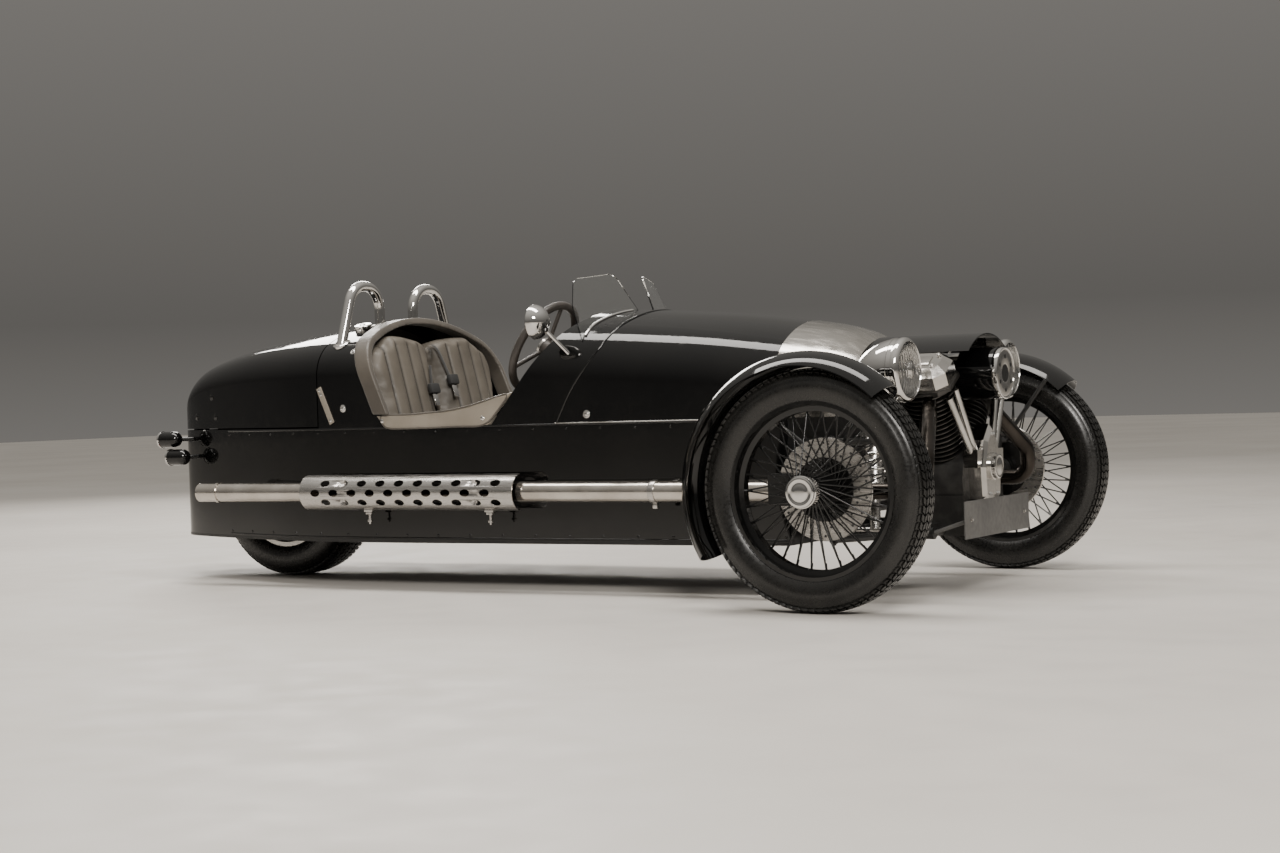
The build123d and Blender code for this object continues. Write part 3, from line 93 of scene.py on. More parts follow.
class NodeSheet:
    """A material's node tree with short ways to add and join nodes."""

    def __init__(self, name: str) -> None:
        """Makes an empty material.

        Args:
            name: the material's name.
        """
        self.material = bpy.data.materials.new(name)
        self.material.use_nodes = True
        self.tree = self.material.node_tree
        self.tree.nodes.clear()
        self.shader = self.add("ShaderNodeBsdfPrincipled")
        output = self.add("ShaderNodeOutputMaterial")
        self.join(self.shader.outputs["BSDF"], output.inputs["Surface"])
        self.place = self.add("ShaderNodeTexCoord").outputs["Object"]

    def add(self, kind: str, **settings: object) -> bpy.types.Node:
        """Adds a node and sets its properties.

        Args:
            kind: the node's type name.
            **settings: properties to set.

        Returns:
            The new node.
        """
        node = self.tree.nodes.new(kind)
        for key, value in settings.items():
            setattr(node, key, value)
        return node

    def join(self, output: bpy.types.NodeSocket, target: bpy.types.NodeSocket) -> None:
        """Joins two sockets."""
        self.tree.links.new(output, target)

    def set_all(self, values: dict[str, object]) -> None:
        """Sets the shader's own sockets.

        Args:
            values: socket names and their values.
        """
        for key, value in values.items():
            if isinstance(value, tuple) and len(value) == 3:
                value = (*value, 1.0)
            self.shader.inputs[key].default_value = value

    def mapped(self, scale: Vector) -> bpy.types.NodeSocket:
        """Object coordinates stretched by a scale.

        Args:
            scale: the scale on each axis.

        Returns:
            The mapped coordinate socket.
        """
        mapping = self.add("ShaderNodeMapping")
        mapping.inputs["Scale"].default_value = scale
        self.join(self.place, mapping.inputs["Vector"])
        return mapping.outputs["Vector"]

    def noise(self, scale: float, detail: float = 4.0, stretch: Vector = Vector((1, 1, 1))) -> bpy.types.NodeSocket:
        """Noise over object coordinates.

        Args:
            scale: how fine the noise is, per metre.
            detail: its levels of detail.
            stretch: the scale on each axis before the noise.

        Returns:
            The noise value socket.
        """
        node = self.add("ShaderNodeTexNoise")
        node.inputs["Scale"].default_value = scale
        node.inputs["Detail"].default_value = detail
        self.join(self.mapped(stretch), node.inputs["Vector"])
        return node.outputs["Fac"]

    def spread(self, source: bpy.types.NodeSocket, low: float, high: float) -> bpy.types.NodeSocket:
        """Maps a value near 0.35 to 0.65 on to a wider range.

        Args:
            source: the value socket.
            low: the value at the lower end.
            high: the value at the upper end.

        Returns:
            The mapped value socket.
        """
        node = self.add("ShaderNodeMapRange")
        node.inputs["From Min"].default_value = 0.35
        node.inputs["From Max"].default_value = 0.65
        node.inputs["To Min"].default_value = low
        node.inputs["To Max"].default_value = high
        self.join(source, node.inputs["Value"])
        return node.outputs["Result"]

    def mix(self, share: bpy.types.NodeSocket, first: Colour, second: Colour) -> bpy.types.NodeSocket:
        """Mixes two colours by a value.

        Args:
            share: the value socket.
            first: the colour at 0.
            second: the colour at 1.

        Returns:
            The colour socket.
        """
        node = self.add("ShaderNodeMix", data_type="RGBA")
        node.inputs[6].default_value = (*first, 1.0)
        node.inputs[7].default_value = (*second, 1.0)
        self.join(share, node.inputs[0])
        return node.outputs[2]

    def shade(self, colour: bpy.types.NodeSocket, attribute: str, least: float) -> bpy.types.NodeSocket:
        """Paints shade into a colour: darkens it where a mesh attribute says so.

        Args:
            colour: the colour socket.
            attribute: the attribute's name, 1 where the painted shade is darkest.
            least: the share of the colour that is left there.

        Returns:
            The colour socket.
        """
        marks = self.add("ShaderNodeAttribute", attribute_name=attribute)
        share = self.add("ShaderNodeMapRange")
        share.inputs["From Min"].default_value = 0.25
        share.inputs["To Min"].default_value = 1.0
        share.inputs["To Max"].default_value = least
        self.join(marks.outputs["Fac"], share.inputs["Value"])
        node = self.add("ShaderNodeVectorMath", operation="SCALE")
        self.join(colour, node.inputs[0])
        self.join(share.outputs["Result"], node.inputs["Scale"])
        return node.outputs["Vector"]

    def bump(self, height: bpy.types.NodeSocket, strength: float, distance: float) -> None:
        """Adds a bump to the shader's normal, over any earlier bump.

        Args:
            height: the height socket.
            strength: how strong the bump is.
            distance: its depth in metres.
        """
        node = self.add("ShaderNodeBump")
        node.inputs["Strength"].default_value = strength
        node.inputs["Distance"].default_value = distance
        self.join(height, node.inputs["Height"])
        normal = self.shader.inputs["Normal"]
        if normal.is_linked:
            self.join(normal.links[0].from_socket, node.inputs["Normal"])
        self.join(node.outputs["Normal"], normal)


@dataclass(frozen=True)
class Finish:
    """A surface finish, from its colours, its gloss and its pattern."""

    name: str
    dark: Colour
    light: Colour
    rough: tuple[float, float]
    metal: float = 0.0
    coat: float = 0.0
    pattern: Pattern = Pattern.PLAIN
    scale: float = 40.0
    bump: float = 0.0
    depth: float = 0.0004
    sheen: float = 0.0

    def stretch(self) -> Vector:
        """How the pattern is drawn out on each axis."""
        if self.pattern is Pattern.BRUSHED:
            return Vector((0.08, 1.0, 1.0))
        return Vector((1, 1, 1))

    def make(self) -> bpy.types.Material:
        """Builds the material once and gives it back.

        Returns:
            The material.
        """
        known = bpy.data.materials.get(self.name)
        if known:
            return known
        sheet = NodeSheet(self.name)
        sheet.set_all({"Metallic": self.metal, "Coat Weight": self.coat, "Coat Roughness": 0.03})
        if self.sheen:
            sheet.set_all({"Sheen Weight": self.sheen, "Sheen Roughness": 0.5})
        broad = sheet.noise(self.scale * 0.12, 3.0, self.stretch())
        fine = sheet.noise(self.scale, 6.0, self.stretch())
        colour = sheet.mix(sheet.spread(broad, 0.0, 1.0), self.dark, self.light)
        # Grain leather is darkened by painted shade where a mesh attribute marks the pleat valleys.
        if self.pattern is Pattern.GRAIN:
            colour = sheet.shade(colour, "crease_shade", 0.22)
        sheet.join(colour, sheet.shader.inputs["Base Color"])
        sheet.join(sheet.spread(fine, *self.rough), sheet.shader.inputs["Roughness"])
        if self.pattern is Pattern.GRAIN:
            cells = sheet.add("ShaderNodeTexVoronoi", feature="DISTANCE_TO_EDGE")
            cells.inputs["Scale"].default_value = self.scale * 12
            sheet.join(sheet.place, cells.inputs["Vector"])
            sheet.bump(cells.outputs["Distance"], self.bump, self.depth)
        if self.bump:
            sheet.bump(fine, self.bump, self.depth)
        return sheet.material


PAINT = Finish("gloss_black_paint", (0.0020, 0.0020, 0.0021), (0.0040, 0.0038, 0.0037), (0.03, 0.09), scale=30.0)
WHEEL_PAINT = Finish("wheel_black_paint", (0.003, 0.003, 0.003), (0.006, 0.0058, 0.0056), (0.10, 0.2), scale=60.0)
CHROME = Finish("chrome_plate", (0.66, 0.65, 0.63), (0.76, 0.745, 0.725), (0.03, 0.09), metal=1.0, scale=25.0)
POLISHED = Finish("polished_alloy", (0.50, 0.485, 0.46), (0.64, 0.62, 0.59), (0.10, 0.20), metal=1.0,
                  pattern=Pattern.BRUSHED, scale=90.0, bump=0.05, depth=0.0002)
BAND_METAL = Finish("band_metal", (0.40, 0.38, 0.35), (0.60, 0.575, 0.54), (0.12, 0.30), metal=1.0,
                    pattern=Pattern.BRUSHED, scale=70.0, bump=0.08, depth=0.0003)
CAST_ALLOY = Finish("cast_alloy", (0.36, 0.35, 0.33), (0.52, 0.50, 0.48), (0.35, 0.55), metal=1.0,
                    scale=160.0, bump=0.25, depth=0.0006)
STEEL = Finish("brushed_steel", (0.50, 0.48, 0.46), (0.62, 0.60, 0.57), (0.20, 0.34), metal=1.0,
               pattern=Pattern.BRUSHED, scale=140.0, bump=0.12, depth=0.0003)
FRAME_PAINT = Finish("frame_paint", (0.007, 0.007, 0.007), (0.014, 0.0135, 0.013), (0.30, 0.50),
                     scale=120.0, bump=0.1)
DARK_CAST = Finish("dark_cast", (0.030, 0.029, 0.028), (0.060, 0.058, 0.055), (0.35, 0.55), metal=0.7,
                   scale=160.0, bump=0.25, depth=0.0006)
LEATHER = Finish("tan_leather", (0.098, 0.085, 0.068), (0.140, 0.123, 0.100), (0.42, 0.56), pattern=Pattern.GRAIN,
                 scale=70.0, bump=0.18, depth=0.0005)
PALE_LEATHER = Finish("pale_leather", (0.250, 0.218, 0.176), (0.315, 0.278, 0.228), (0.36, 0.50), pattern=Pattern.GRAIN,
                      scale=70.0, bump=0.2, depth=0.0004, sheen=0.15)
DARK_LEATHER = Finish("dark_leather", (0.035, 0.03, 0.026), (0.06, 0.052, 0.046), (0.35, 0.5), pattern=Pattern.GRAIN,
                      scale=70.0, bump=0.2, depth=0.0004)
RUBBER = Finish("tyre_rubber", (0.006, 0.0058, 0.0055), (0.012, 0.0115, 0.0105), (0.22, 0.36), scale=110.0, bump=0.10,
                depth=0.0005)
BAND_LEATHER = Finish("band_leather", (0.066, 0.057, 0.046), (0.098, 0.085, 0.069), (0.34, 0.48), pattern=Pattern.GRAIN,
                      scale=70.0, bump=0.22, depth=0.0005, sheen=0.15)
WEBBING = Finish("belt_webbing", (0.016, 0.015, 0.014), (0.030, 0.028, 0.026), (0.6, 0.8), scale=300.0,
                 bump=0.4, depth=0.0006, sheen=0.3)
DIAL_FACE = Finish("dial_face", (0.62, 0.59, 0.52), (0.70, 0.67, 0.60), (0.4, 0.55), scale=90.0, bump=0.03)
PALE_MARK = Finish("dial_mark", (0.02, 0.02, 0.02), (0.035, 0.034, 0.033), (0.4, 0.5), scale=90.0, bump=0.02)
PLATE = Finish("blank_plate", (0.075, 0.073, 0.07), (0.11, 0.107, 0.102), (0.35, 0.5), scale=60.0, bump=0.05)
CARPET = Finish("carpet", (0.02, 0.019, 0.018), (0.04, 0.038, 0.035), (0.85, 0.98), scale=700.0, bump=0.8,
                depth=0.0015, sheen=0.3)
FIN_BLACK = Finish("fin_black", (0.045, 0.043, 0.040), (0.095, 0.091, 0.086), (0.28, 0.42), metal=0.85,
                   scale=120.0, bump=0.12, depth=0.0003)
# Near-black matt finish for discs of painted shade that stand in for openings.
SHADE_BLACK = Finish("painted_shade_black", (0.0015, 0.0015, 0.0015), (0.003, 0.003, 0.003), (0.80, 0.95), scale=90.0,
                      bump=0.05)
LAMP_RED = Finish("red_lens", (0.16, 0.010, 0.008), (0.22, 0.014, 0.010), (0.08, 0.16), coat=0.6, scale=80.0)
# Black plastic, also used for the dark plugs of painted shade in the brake disc's drillings.
BLACK_PLASTIC_AND_SHADE = Finish("black_plastic", (0.012, 0.012, 0.012), (0.022, 0.021, 0.021), (0.35, 0.5), scale=150.0,
                       bump=0.1)


@dataclass(frozen=True)
class Glass:
    """Clear glass, plain or fluted."""

    name: str
    tint: Colour = (0.93, 0.94, 0.93)
    rough: float = 0.02
    flutes: float = 0.0

    def make(self) -> bpy.types.Material:
        """Builds the material once and gives it back.

        Returns:
            The material.
        """
        known = bpy.data.materials.get(self.name)
        if known:
            return known
        sheet = NodeSheet(self.name)
        sheet.set_all({"Base Color": self.tint, "Transmission Weight": 1.0, "IOR": 1.46})
        sheet.join(sheet.spread(sheet.noise(35.0, 3.0), self.rough, self.rough * 3), sheet.shader.inputs["Roughness"])
        if self.flutes:
            wave = sheet.add("ShaderNodeTexWave", wave_type="BANDS", bands_direction="Y")
            wave.inputs["Scale"].default_value = self.flutes
            sheet.join(sheet.place, wave.inputs["Vector"])
            sheet.bump(wave.outputs["Fac"], 0.6, 0.002)
        else:
            sheet.bump(sheet.noise(6.0, 1.0), 0.02, 0.001)
        return sheet.material


@dataclass(frozen=True)
class HeatedPipe:
    """Bright pipe that turns dark where it nears the engine, and along the span under the heat shields."""

    name: str
    bright: tuple[Colour, Colour] = ((0.50, 0.46, 0.41), (0.66, 0.62, 0.57))
    burnt: tuple[Colour, Colour] = ((0.035, 0.030, 0.026), (0.060, 0.052, 0.045))
    shielded_middle: float = -0.300
    shielded_half: float = 0.418
    turns_from: float = 0.96
    turns_to: float = 1.16

    def make(self) -> bpy.types.Material:
        """Builds the material once and gives it back.

        Returns:
            The material.
        """
        known = bpy.data.materials.get(self.name)
        if known:
            return known
        sheet = NodeSheet(self.name)
        patches = sheet.spread(sheet.noise(9.0, 4.0), 0.0, 1.0)
        bright = sheet.mix(patches, *self.bright)
        burnt = sheet.mix(patches, *self.burnt)
        split = sheet.add("ShaderNodeSeparateXYZ")
        sheet.join(sheet.place, split.inputs[0])
        heat = sheet.add("ShaderNodeMapRange", interpolation_type="SMOOTHSTEP")
        heat.inputs["From Min"].default_value = self.turns_from
        heat.inputs["From Max"].default_value = self.turns_to
        sheet.join(split.outputs["X"], heat.inputs["Value"])
        # The pipe is also dark along the span under the heat shields.
        under_shields = sheet.add("ShaderNodeMath", operation="COMPARE")
        sheet.join(split.outputs["X"], under_shields.inputs[0])
        under_shields.inputs[1].default_value, under_shields.inputs[2].default_value = self.shielded_middle, self.shielded_half
        darkest = sheet.add("ShaderNodeMath", operation="MAXIMUM")
        sheet.join(heat.outputs["Result"], darkest.inputs[0])
        sheet.join(under_shields.outputs["Value"], darkest.inputs[1])
        blend = sheet.add("ShaderNodeMix", data_type="RGBA")
        sheet.join(darkest.outputs["Value"], blend.inputs[0])
        sheet.join(bright, blend.inputs[6])
        sheet.join(burnt, blend.inputs[7])
        sheet.join(blend.outputs[2], sheet.shader.inputs["Base Color"])
        sheet.set_all({"Metallic": 0.95})
        sheet.join(sheet.spread(sheet.noise(60.0, 5.0), 0.12, 0.26), sheet.shader.inputs["Roughness"])
        return sheet.material


PIPE_STEEL = HeatedPipe("pipe_steel")
SCREEN_GLASS = Glass("screen_glass")
LAMP_GLASS = Glass("lamp_glass", (0.95, 0.95, 0.94), 0.03, 26.0)

NODE_FINISHES = {
    "tub_sides": PAINT, "tub_tail": PAINT, "tub_floor": FRAME_PAINT, "front_bulkhead": FRAME_PAINT,
    "bonnet_band": BAND_METAL, "bonnet": PAINT, "scuttle": PAINT, "rear_deck": PAINT, "tail_lid": PAINT,
    "lid_lamp": LAMP_RED, "boot_wall": CARPET, "boot_floor": CARPET, "dashboard": POLISHED,
    "cockpit_roll": BAND_LEATHER, "side_pads": PALE_LEATHER, "tunnel": CARPET, "seat_backs": LEATHER,
    "seat_cushions": LEATHER,
    "aero_screens": SCREEN_GLASS, "mirrors": CHROME, "roll_hoops": CHROME, "filler_cap": CHROME,
    "crankcase": DARK_CAST, "cylinders": FIN_BLACK, "rocker_covers": POLISHED, "timing_cover": POLISHED,
    "air_cleaner": PAINT, "engine_cover": PAINT, "front_frame": FRAME_PAINT, "wishbones": FRAME_PAINT,
    "coilovers": STEEL, "upright_right": FRAME_PAINT, "upright_left": FRAME_PAINT, "wing_right": PAINT,
    "wing_left": PAINT, "front_tyre_right": RUBBER, "front_tyre_left": RUBBER, "front_wheel_right": WHEEL_PAINT,
    "front_wheel_left": WHEEL_PAINT, "rear_tyre": RUBBER, "rear_wheel": STEEL, "swing_arm": FRAME_PAINT,
    "exhausts": PIPE_STEEL, "heat_shields": STEEL, "headlamps": CHROME, "front_plate": PLATE,
    "tail_lamps": PAINT, "steering_column": FRAME_PAINT, "steering_wheel": DARK_LEATHER, "tie_rods": STEEL,
}


@dataclass(frozen=True)
class Viewpoint:
    """The camera that took the photograph, in the car's own frame."""

    focal_mm: float = 59.70
    sensor_mm: float = 36.0
    yaw: float = 0.5367
    pitch: float = -0.0152
    roll: float = -0.0294
    x: float = 2.5789
    y: float = -6.0103
    z: float = 0.6188

    def axes(self) -> tuple[Vector, Vector, Vector]:
        """The camera's right, up and forward directions."""
        level = math.cos(self.pitch)
        forward = Vector((-math.sin(self.yaw) * level, math.cos(self.yaw) * level, math.sin(self.pitch)))
        right = Vector((math.cos(self.yaw), math.sin(self.yaw), 0.0))
        up = right.cross(forward)
        turned_right = right * math.cos(self.roll) + up * math.sin(self.roll)
        turned_up = up * math.cos(self.roll) - right * math.sin(self.roll)
        return turned_right, turned_up, forward

    def make(self) -> None:
        """Adds the camera and makes it the scene's own."""
        right, up, forward = self.axes()
        data = bpy.data.cameras.new("viewpoint")
        data.lens = self.focal_mm
        data.sensor_width = self.sensor_mm
        data.sensor_fit = "HORIZONTAL"
        camera = bpy.data.objects.new("viewpoint", data)
        bpy.context.scene.collection.objects.link(camera)
        turn = Matrix((right, up, -forward)).transposed().to_4x4()
        camera.matrix_world = Matrix.Translation((FRONT_AXLE_X + self.x, self.y, self.z)) @ turn
        bpy.context.scene.camera = camera


@dataclass(frozen=True)
class SoftBox:
    """A rectangular studio light aimed at a point."""

    name: str
    place: tuple[float, float, float]
    aim: tuple[float, float, float]
    size: tuple[float, float]
    power: float
    colour: Colour = (1.0, 0.96, 0.91)

    def make(self) -> None:
        """Adds the light."""
        data = bpy.data.lights.new(self.name, "AREA")
        data.shape = "RECTANGLE"
        data.size, data.size_y = self.size
        data.energy = self.power
        data.color = self.colour
        lamp = bpy.data.objects.new(self.name, data)
        bpy.context.scene.collection.objects.link(lamp)
        lamp.location = self.place
        lamp.rotation_euler = (Vector(self.aim) - Vector(self.place)).to_track_quat("-Z", "Y").to_euler()


@dataclass
class Studio:
    """The pale floor, the soft light and the world around the car."""

    floor_size: float = 60.0
    floor_colours: tuple[Colour, Colour] = ((0.56, 0.53, 0.49), (0.62, 0.59, 0.55))
    sky: tuple[tuple[float, Colour], ...] = (
        (0.00, (0.30, 0.285, 0.265)), (0.47, (0.22, 0.21, 0.195)), (0.52, (0.115, 0.109, 0.101)),
        (0.60, (0.19, 0.181, 0.168)), (0.75, (0.34, 0.325, 0.30)), (1.00, (0.72, 0.69, 0.64)))
    world_strength: float = 1.0
    lights: tuple[SoftBox, ...] = (
        SoftBox("key", (5.5, -6.5, 5.0), (0.2, 0.0, 0.5), (2.6, 2.0), 560.0),
        SoftBox("overhead", (-0.4, -0.4, 5.5), (-0.4, 0.0, 0.5), (6.5, 1.4), 330.0),
        SoftBox("rear", (-5.0, 5.0, 4.0), (0.0, 0.0, 0.6), (3.0, 2.0), 300.0),
    )

    def make_floor(self) -> None:
        """Adds the floor."""
        clear_selection()
        bpy.ops.mesh.primitive_plane_add(size=self.floor_size)
        floor = bpy.context.object
        floor.name = "studio_floor"
        finish = Finish("pale_floor", *self.floor_colours, (0.55, 0.75), scale=6.0)
        floor.data.materials.append(finish.make())

    def make_world(self) -> None:
        """Sets a soft world, dim at the horizon and bright overhead."""
        world = bpy.data.worlds.new("studio_world")
        world.use_nodes = True
        tree = world.node_tree
        back = tree.nodes["Background"]
        back.inputs["Strength"].default_value = self.world_strength
        way = tree.nodes.new("ShaderNodeTexCoord")
        split = tree.nodes.new("ShaderNodeSeparateXYZ")
        share = tree.nodes.new("ShaderNodeMapRange")
        share.inputs["From Min"].default_value = -1.0
        ramp = tree.nodes.new("ShaderNodeValToRGB")
        elements = ramp.color_ramp.elements
        for element, (place, colour) in zip(elements, (self.sky[0], self.sky[-1])):
            element.position = place
            element.color = (*colour, 1.0)
        for place, colour in self.sky[1:-1]:
            elements.new(place).color = (*colour, 1.0)
        tree.links.new(way.outputs["Generated"], split.inputs[0])
        tree.links.new(split.outputs["Z"], share.inputs["Value"])
        tree.links.new(share.outputs["Result"], ramp.inputs["Fac"])
        tree.links.new(ramp.outputs["Color"], back.inputs["Color"])
        bpy.context.scene.world = world

    def make(self) -> None:
        """Adds the floor, the world and the lights."""
        self.make_floor()
        self.make_world()
        for light in self.lights:
            light.make()


Surface = Finish | Glass | HeatedPipe


@dataclass
class FrameDresser:
    """Gives each solid of the frame its finish."""

    nodes: dict[str, bpy.types.Object]
    finishes: dict[str, Surface] = field(default_factory=lambda: dict(NODE_FINISHES))

    def dress(self) -> None:
        """Puts the finish on every node."""
        for name, node in self.nodes.items():
            finish = self.finishes[name]
            node.data.materials.clear()
            node.data.materials.append(finish.make())
        log.info("dressed %d nodes", len(self.nodes))


@dataclass(frozen=True)
class Slot:
    """A piece's finish, the body that it rides on and the record's slot for it."""

    finish: Surface
    body: str
    name: str


CHROME_TRIM = Slot(CHROME, "car", "chrome")
STEEL_TRIM = Slot(STEEL, "car", "steel")
POLISHED_TRIM = Slot(POLISHED, "car", "polished")
PLASTIC_TRIM = Slot(BLACK_PLASTIC_AND_SHADE, "car", "black_plastic")
# Slot for the discs of painted shade in openings.
SHADE_TRIM = Slot(SHADE_BLACK, "car", "black_plastic")
PAINT_TRIM = Slot(PAINT, "car", "black_paint")


def clear_selection() -> None:
    """Deselects every object."""
    bpy.ops.object.select_all(action="DESELECT")


def make_active(piece: bpy.types.Object) -> None:
    """Selects one object alone and makes it the active one."""
    clear_selection()
    piece.select_set(True)
    bpy.context.view_layer.objects.active = piece


@contextmanager
def editing(piece: bpy.types.Object) -> Iterator[None]:
    """Edit mode on one object, left again at the end.

    Args:
        piece: the object to edit.
    """
    make_active(piece)
    bpy.ops.object.mode_set(mode="EDIT")
    yield
    bpy.ops.object.mode_set(mode="OBJECT")


def pick_faces(piece: bpy.types.Object, wanted: Callable[[Vector, Vector], bool]) -> int:
    """Selects the faces that pass a test, and no others.

    Args:
        piece: the object, in edit mode.
        wanted: the test on a face's middle and normal.

    Returns:
        How many faces are selected.
    """
    bpy.ops.mesh.select_mode(type="FACE")
    bpy.ops.mesh.select_all(action="DESELECT")
    mesh = bmesh.from_edit_mesh(piece.data)
    chosen = [face for face in mesh.faces if wanted(face.calc_center_median(), face.normal)]
    for face in chosen:
        face.select_set(True)
    mesh.select_flush_mode()
    bmesh.update_edit_mesh(piece.data)
    return len(chosen)


def settle(piece: bpy.types.Object) -> None:
    """Moves an object's place, turn and scale into its mesh."""
    make_active(piece)
    bpy.ops.object.transform_apply(location=True, rotation=True, scale=True)


def apply_modifier(piece: bpy.types.Object, kind: str, **settings: object) -> None:
    """Adds a modifier, sets it and applies it.

    Args:
        piece: the object.
        kind: the modifier's type.
        **settings: its properties.
    """
    make_active(piece)
    modifier = piece.modifiers.new(kind.lower(), kind)
    for key, value in settings.items():
        setattr(modifier, key, value)
    bpy.ops.object.modifier_apply(modifier=modifier.name)


def mend_normals(piece: bpy.types.Object) -> None:
    """Merges doubles and turns every face outwards.

    Args:
        piece: the object.
    """
    with editing(piece):
        bpy.ops.mesh.select_all(action="SELECT")
        bpy.ops.mesh.remove_doubles(threshold=DOUBLES)
        bpy.ops.mesh.select_all(action="SELECT")
        bpy.ops.mesh.normals_make_consistent(inside=False)


def dress(piece: bpy.types.Object, slot: Slot, smooth_deg: float = 35.0) -> bpy.types.Object:
    """Gives a finished piece its surface and its body.

    Args:
        piece: the object.
        slot: its finish, body and record slot.
        smooth_deg: edges sharper than this stay sharp.

    Returns:
        The same object.
    """
    piece.data.materials.clear()
    piece.data.materials.append(slot.finish.make())
    make_active(piece)
    bpy.ops.object.shade_smooth_by_angle(angle=math.radians(smooth_deg))
    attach(piece, slot.body)
    log.info("%s: %d faces, rides on %s", piece.name, len(piece.data.polygons), slot.body)
    return piece


def facing(place: Vector, axis: Vector) -> Matrix:
    """A placing whose Z points along an axis."""
    return Matrix.Translation(place) @ Vector(axis).to_track_quat("Z", "Y").to_matrix().to_4x4()


def facing_up(place: Vector) -> Matrix:
    """A placing that stands upright and leans back a little."""
    return Matrix.Translation(place) @ Matrix.Rotation(math.radians(BELT_LEAN_DEG), 4, "Y")


def corners(name: str) -> tuple[Vector, Vector]:
    """The low and the high corner of a solid's box."""
    low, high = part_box(name)
    return Vector(low), Vector(high)


def turned(name: str, steps: Sequence[tuple[float, ...]], placing: Matrix = Matrix(), sides: int = 48,
           ring: bool = False) -> bpy.types.Object:
    """A piece turned on a lathe: a circle extruded and resized step by step.

    Args:
        name: the piece's name.
        steps: distance along the axis, radius and, if the step twists, its twist in radians.
        placing: where the piece's own Z axis goes.
        sides: points round the circle.
        ring: true for a hollow ring, which closes on its first step.

    Returns:
        The object, its place in its mesh.
    """
    clear_selection()
    start, radius = steps[0][:2]
    bpy.ops.mesh.primitive_circle_add(vertices=sides, radius=radius, fill_type="NOTHING" if ring else "NGON")
    piece = bpy.context.object
    piece.name = name
    piece.data.name = name
    with editing(piece):
        bpy.ops.mesh.select_mode(type="VERT")
        bpy.ops.mesh.select_all(action="SELECT")
        bpy.ops.transform.translate(value=(0.0, 0.0, start))
        along = start
        for step in [*steps[1:], *(steps[:1] if ring else ())]:
            bpy.ops.mesh.extrude_region_move(TRANSFORM_OT_translate={"value": (0.0, 0.0, step[0] - along)})
            along = step[0]
            share = step[1] / radius
            radius = step[1]
            bpy.ops.transform.resize(value=(share, share, 1.0), center_override=(0.0, 0.0, along))
            if len(step) > 2:
                bpy.ops.transform.rotate(value=step[2], orient_axis="Z", center_override=(0.0, 0.0, along))
    mend_normals(piece)
    piece.matrix_world = placing
    settle(piece)
    return piece


def repeated(master: bpy.types.Object, name: str, placings: Sequence[Matrix]) -> bpy.types.Object:
    """Copies a piece, each copy with its own mesh, and joins the copies.

    Args:
        master: the piece to copy, which is removed.
        name: the joined piece's name.
        placings: where each copy goes.

    Returns:
        The joined object.
    """
    copies = []
    for placing in placings:
        copy = master.copy()
        copy.data = master.data.copy()
        bpy.context.scene.collection.objects.link(copy)
        copy.matrix_world = placing
        copies.append(copy)
    bpy.data.objects.remove(master)
    clear_selection()
    for copy in copies:
        copy.select_set(True)
    bpy.context.view_layer.objects.active = copies[0]
    if len(copies) > 1:
        bpy.ops.object.join()
    copies[0].name = name
    copies[0].data.name = name
    settle(copies[0])
    return copies[0]


def joined(name: str, parts: Sequence[bpy.types.Object]) -> bpy.types.Object:
    """Joins finished objects into one.

    Args:
        name: the new name.
        parts: the objects.

    Returns:
        The joined object.
    """
    clear_selection()
    for part in parts:
        part.select_set(True)
    bpy.context.view_layer.objects.active = parts[0]
    if len(parts) > 1:
        bpy.ops.object.join()
    parts[0].name = name
    parts[0].data.name = name
    return parts[0]


def tube(name: str, points: Sequence[Vector], radius: float, closed: bool = False) -> bpy.types.Object:
    """A round bar along a smooth line, such as a piping or a spring.

    Args:
        name: the piece's name.
        points: the points that it follows.
        radius: its radius in metres.
        closed: true for a loop.

    Returns:
        The object, as a mesh.
    """
    data = bpy.data.curves.new(name, "CURVE")
    data.dimensions = "3D"
    data.bevel_depth = radius
    data.bevel_resolution = 3
    data.use_fill_caps = True
    data.resolution_u = 4
    spline = data.splines.new("NURBS")
    spline.points.add(len(points) - 1)
    for point, place in zip(spline.points, points):
        point.co = (*place, 1.0)
    spline.use_cyclic_u = closed
    spline.order_u = 3
    spline.use_endpoint_u = not closed
    piece = bpy.data.objects.new(name, data)
    bpy.context.scene.collection.objects.link(piece)
    make_active(piece)
    bpy.ops.object.convert(target="MESH")
    return bpy.context.object


def slab(name: str, size: Sequence[float], placing: Matrix, edge: float) -> bpy.types.Object:
    """A block with rounded edges.

    Args:
        name: the piece's name.
        size: its three sizes in metres.
        placing: where its middle goes.
        edge: how far the edges are rounded.

    Returns:
        The object.
    """
    clear_selection()
    bpy.ops.mesh.primitive_cube_add(size=1.0)
    piece = bpy.context.object
    piece.name = name
    piece.data.name = name
    piece.scale = size
    settle(piece)
    apply_modifier(piece, "BEVEL", width=edge, segments=2)
    piece.matrix_world = placing
    settle(piece)
    return piece


def copy_of(node: bpy.types.Object, name: str) -> bpy.types.Object:
    """A merged copy of a solid, which a softer piece starts from.

    Args:
        node: the solid.
        name: the copy's name.

    Returns:
        The copy.
    """
    mesh = node.data.copy()
    piece = bpy.data.objects.new(name, mesh)
    mesh.name = name
    bpy.context.scene.collection.objects.link(piece)
    with editing(piece):
        bpy.ops.mesh.select_all(action="SELECT")
        bpy.ops.mesh.remove_doubles(threshold=DOUBLES)
    return piece


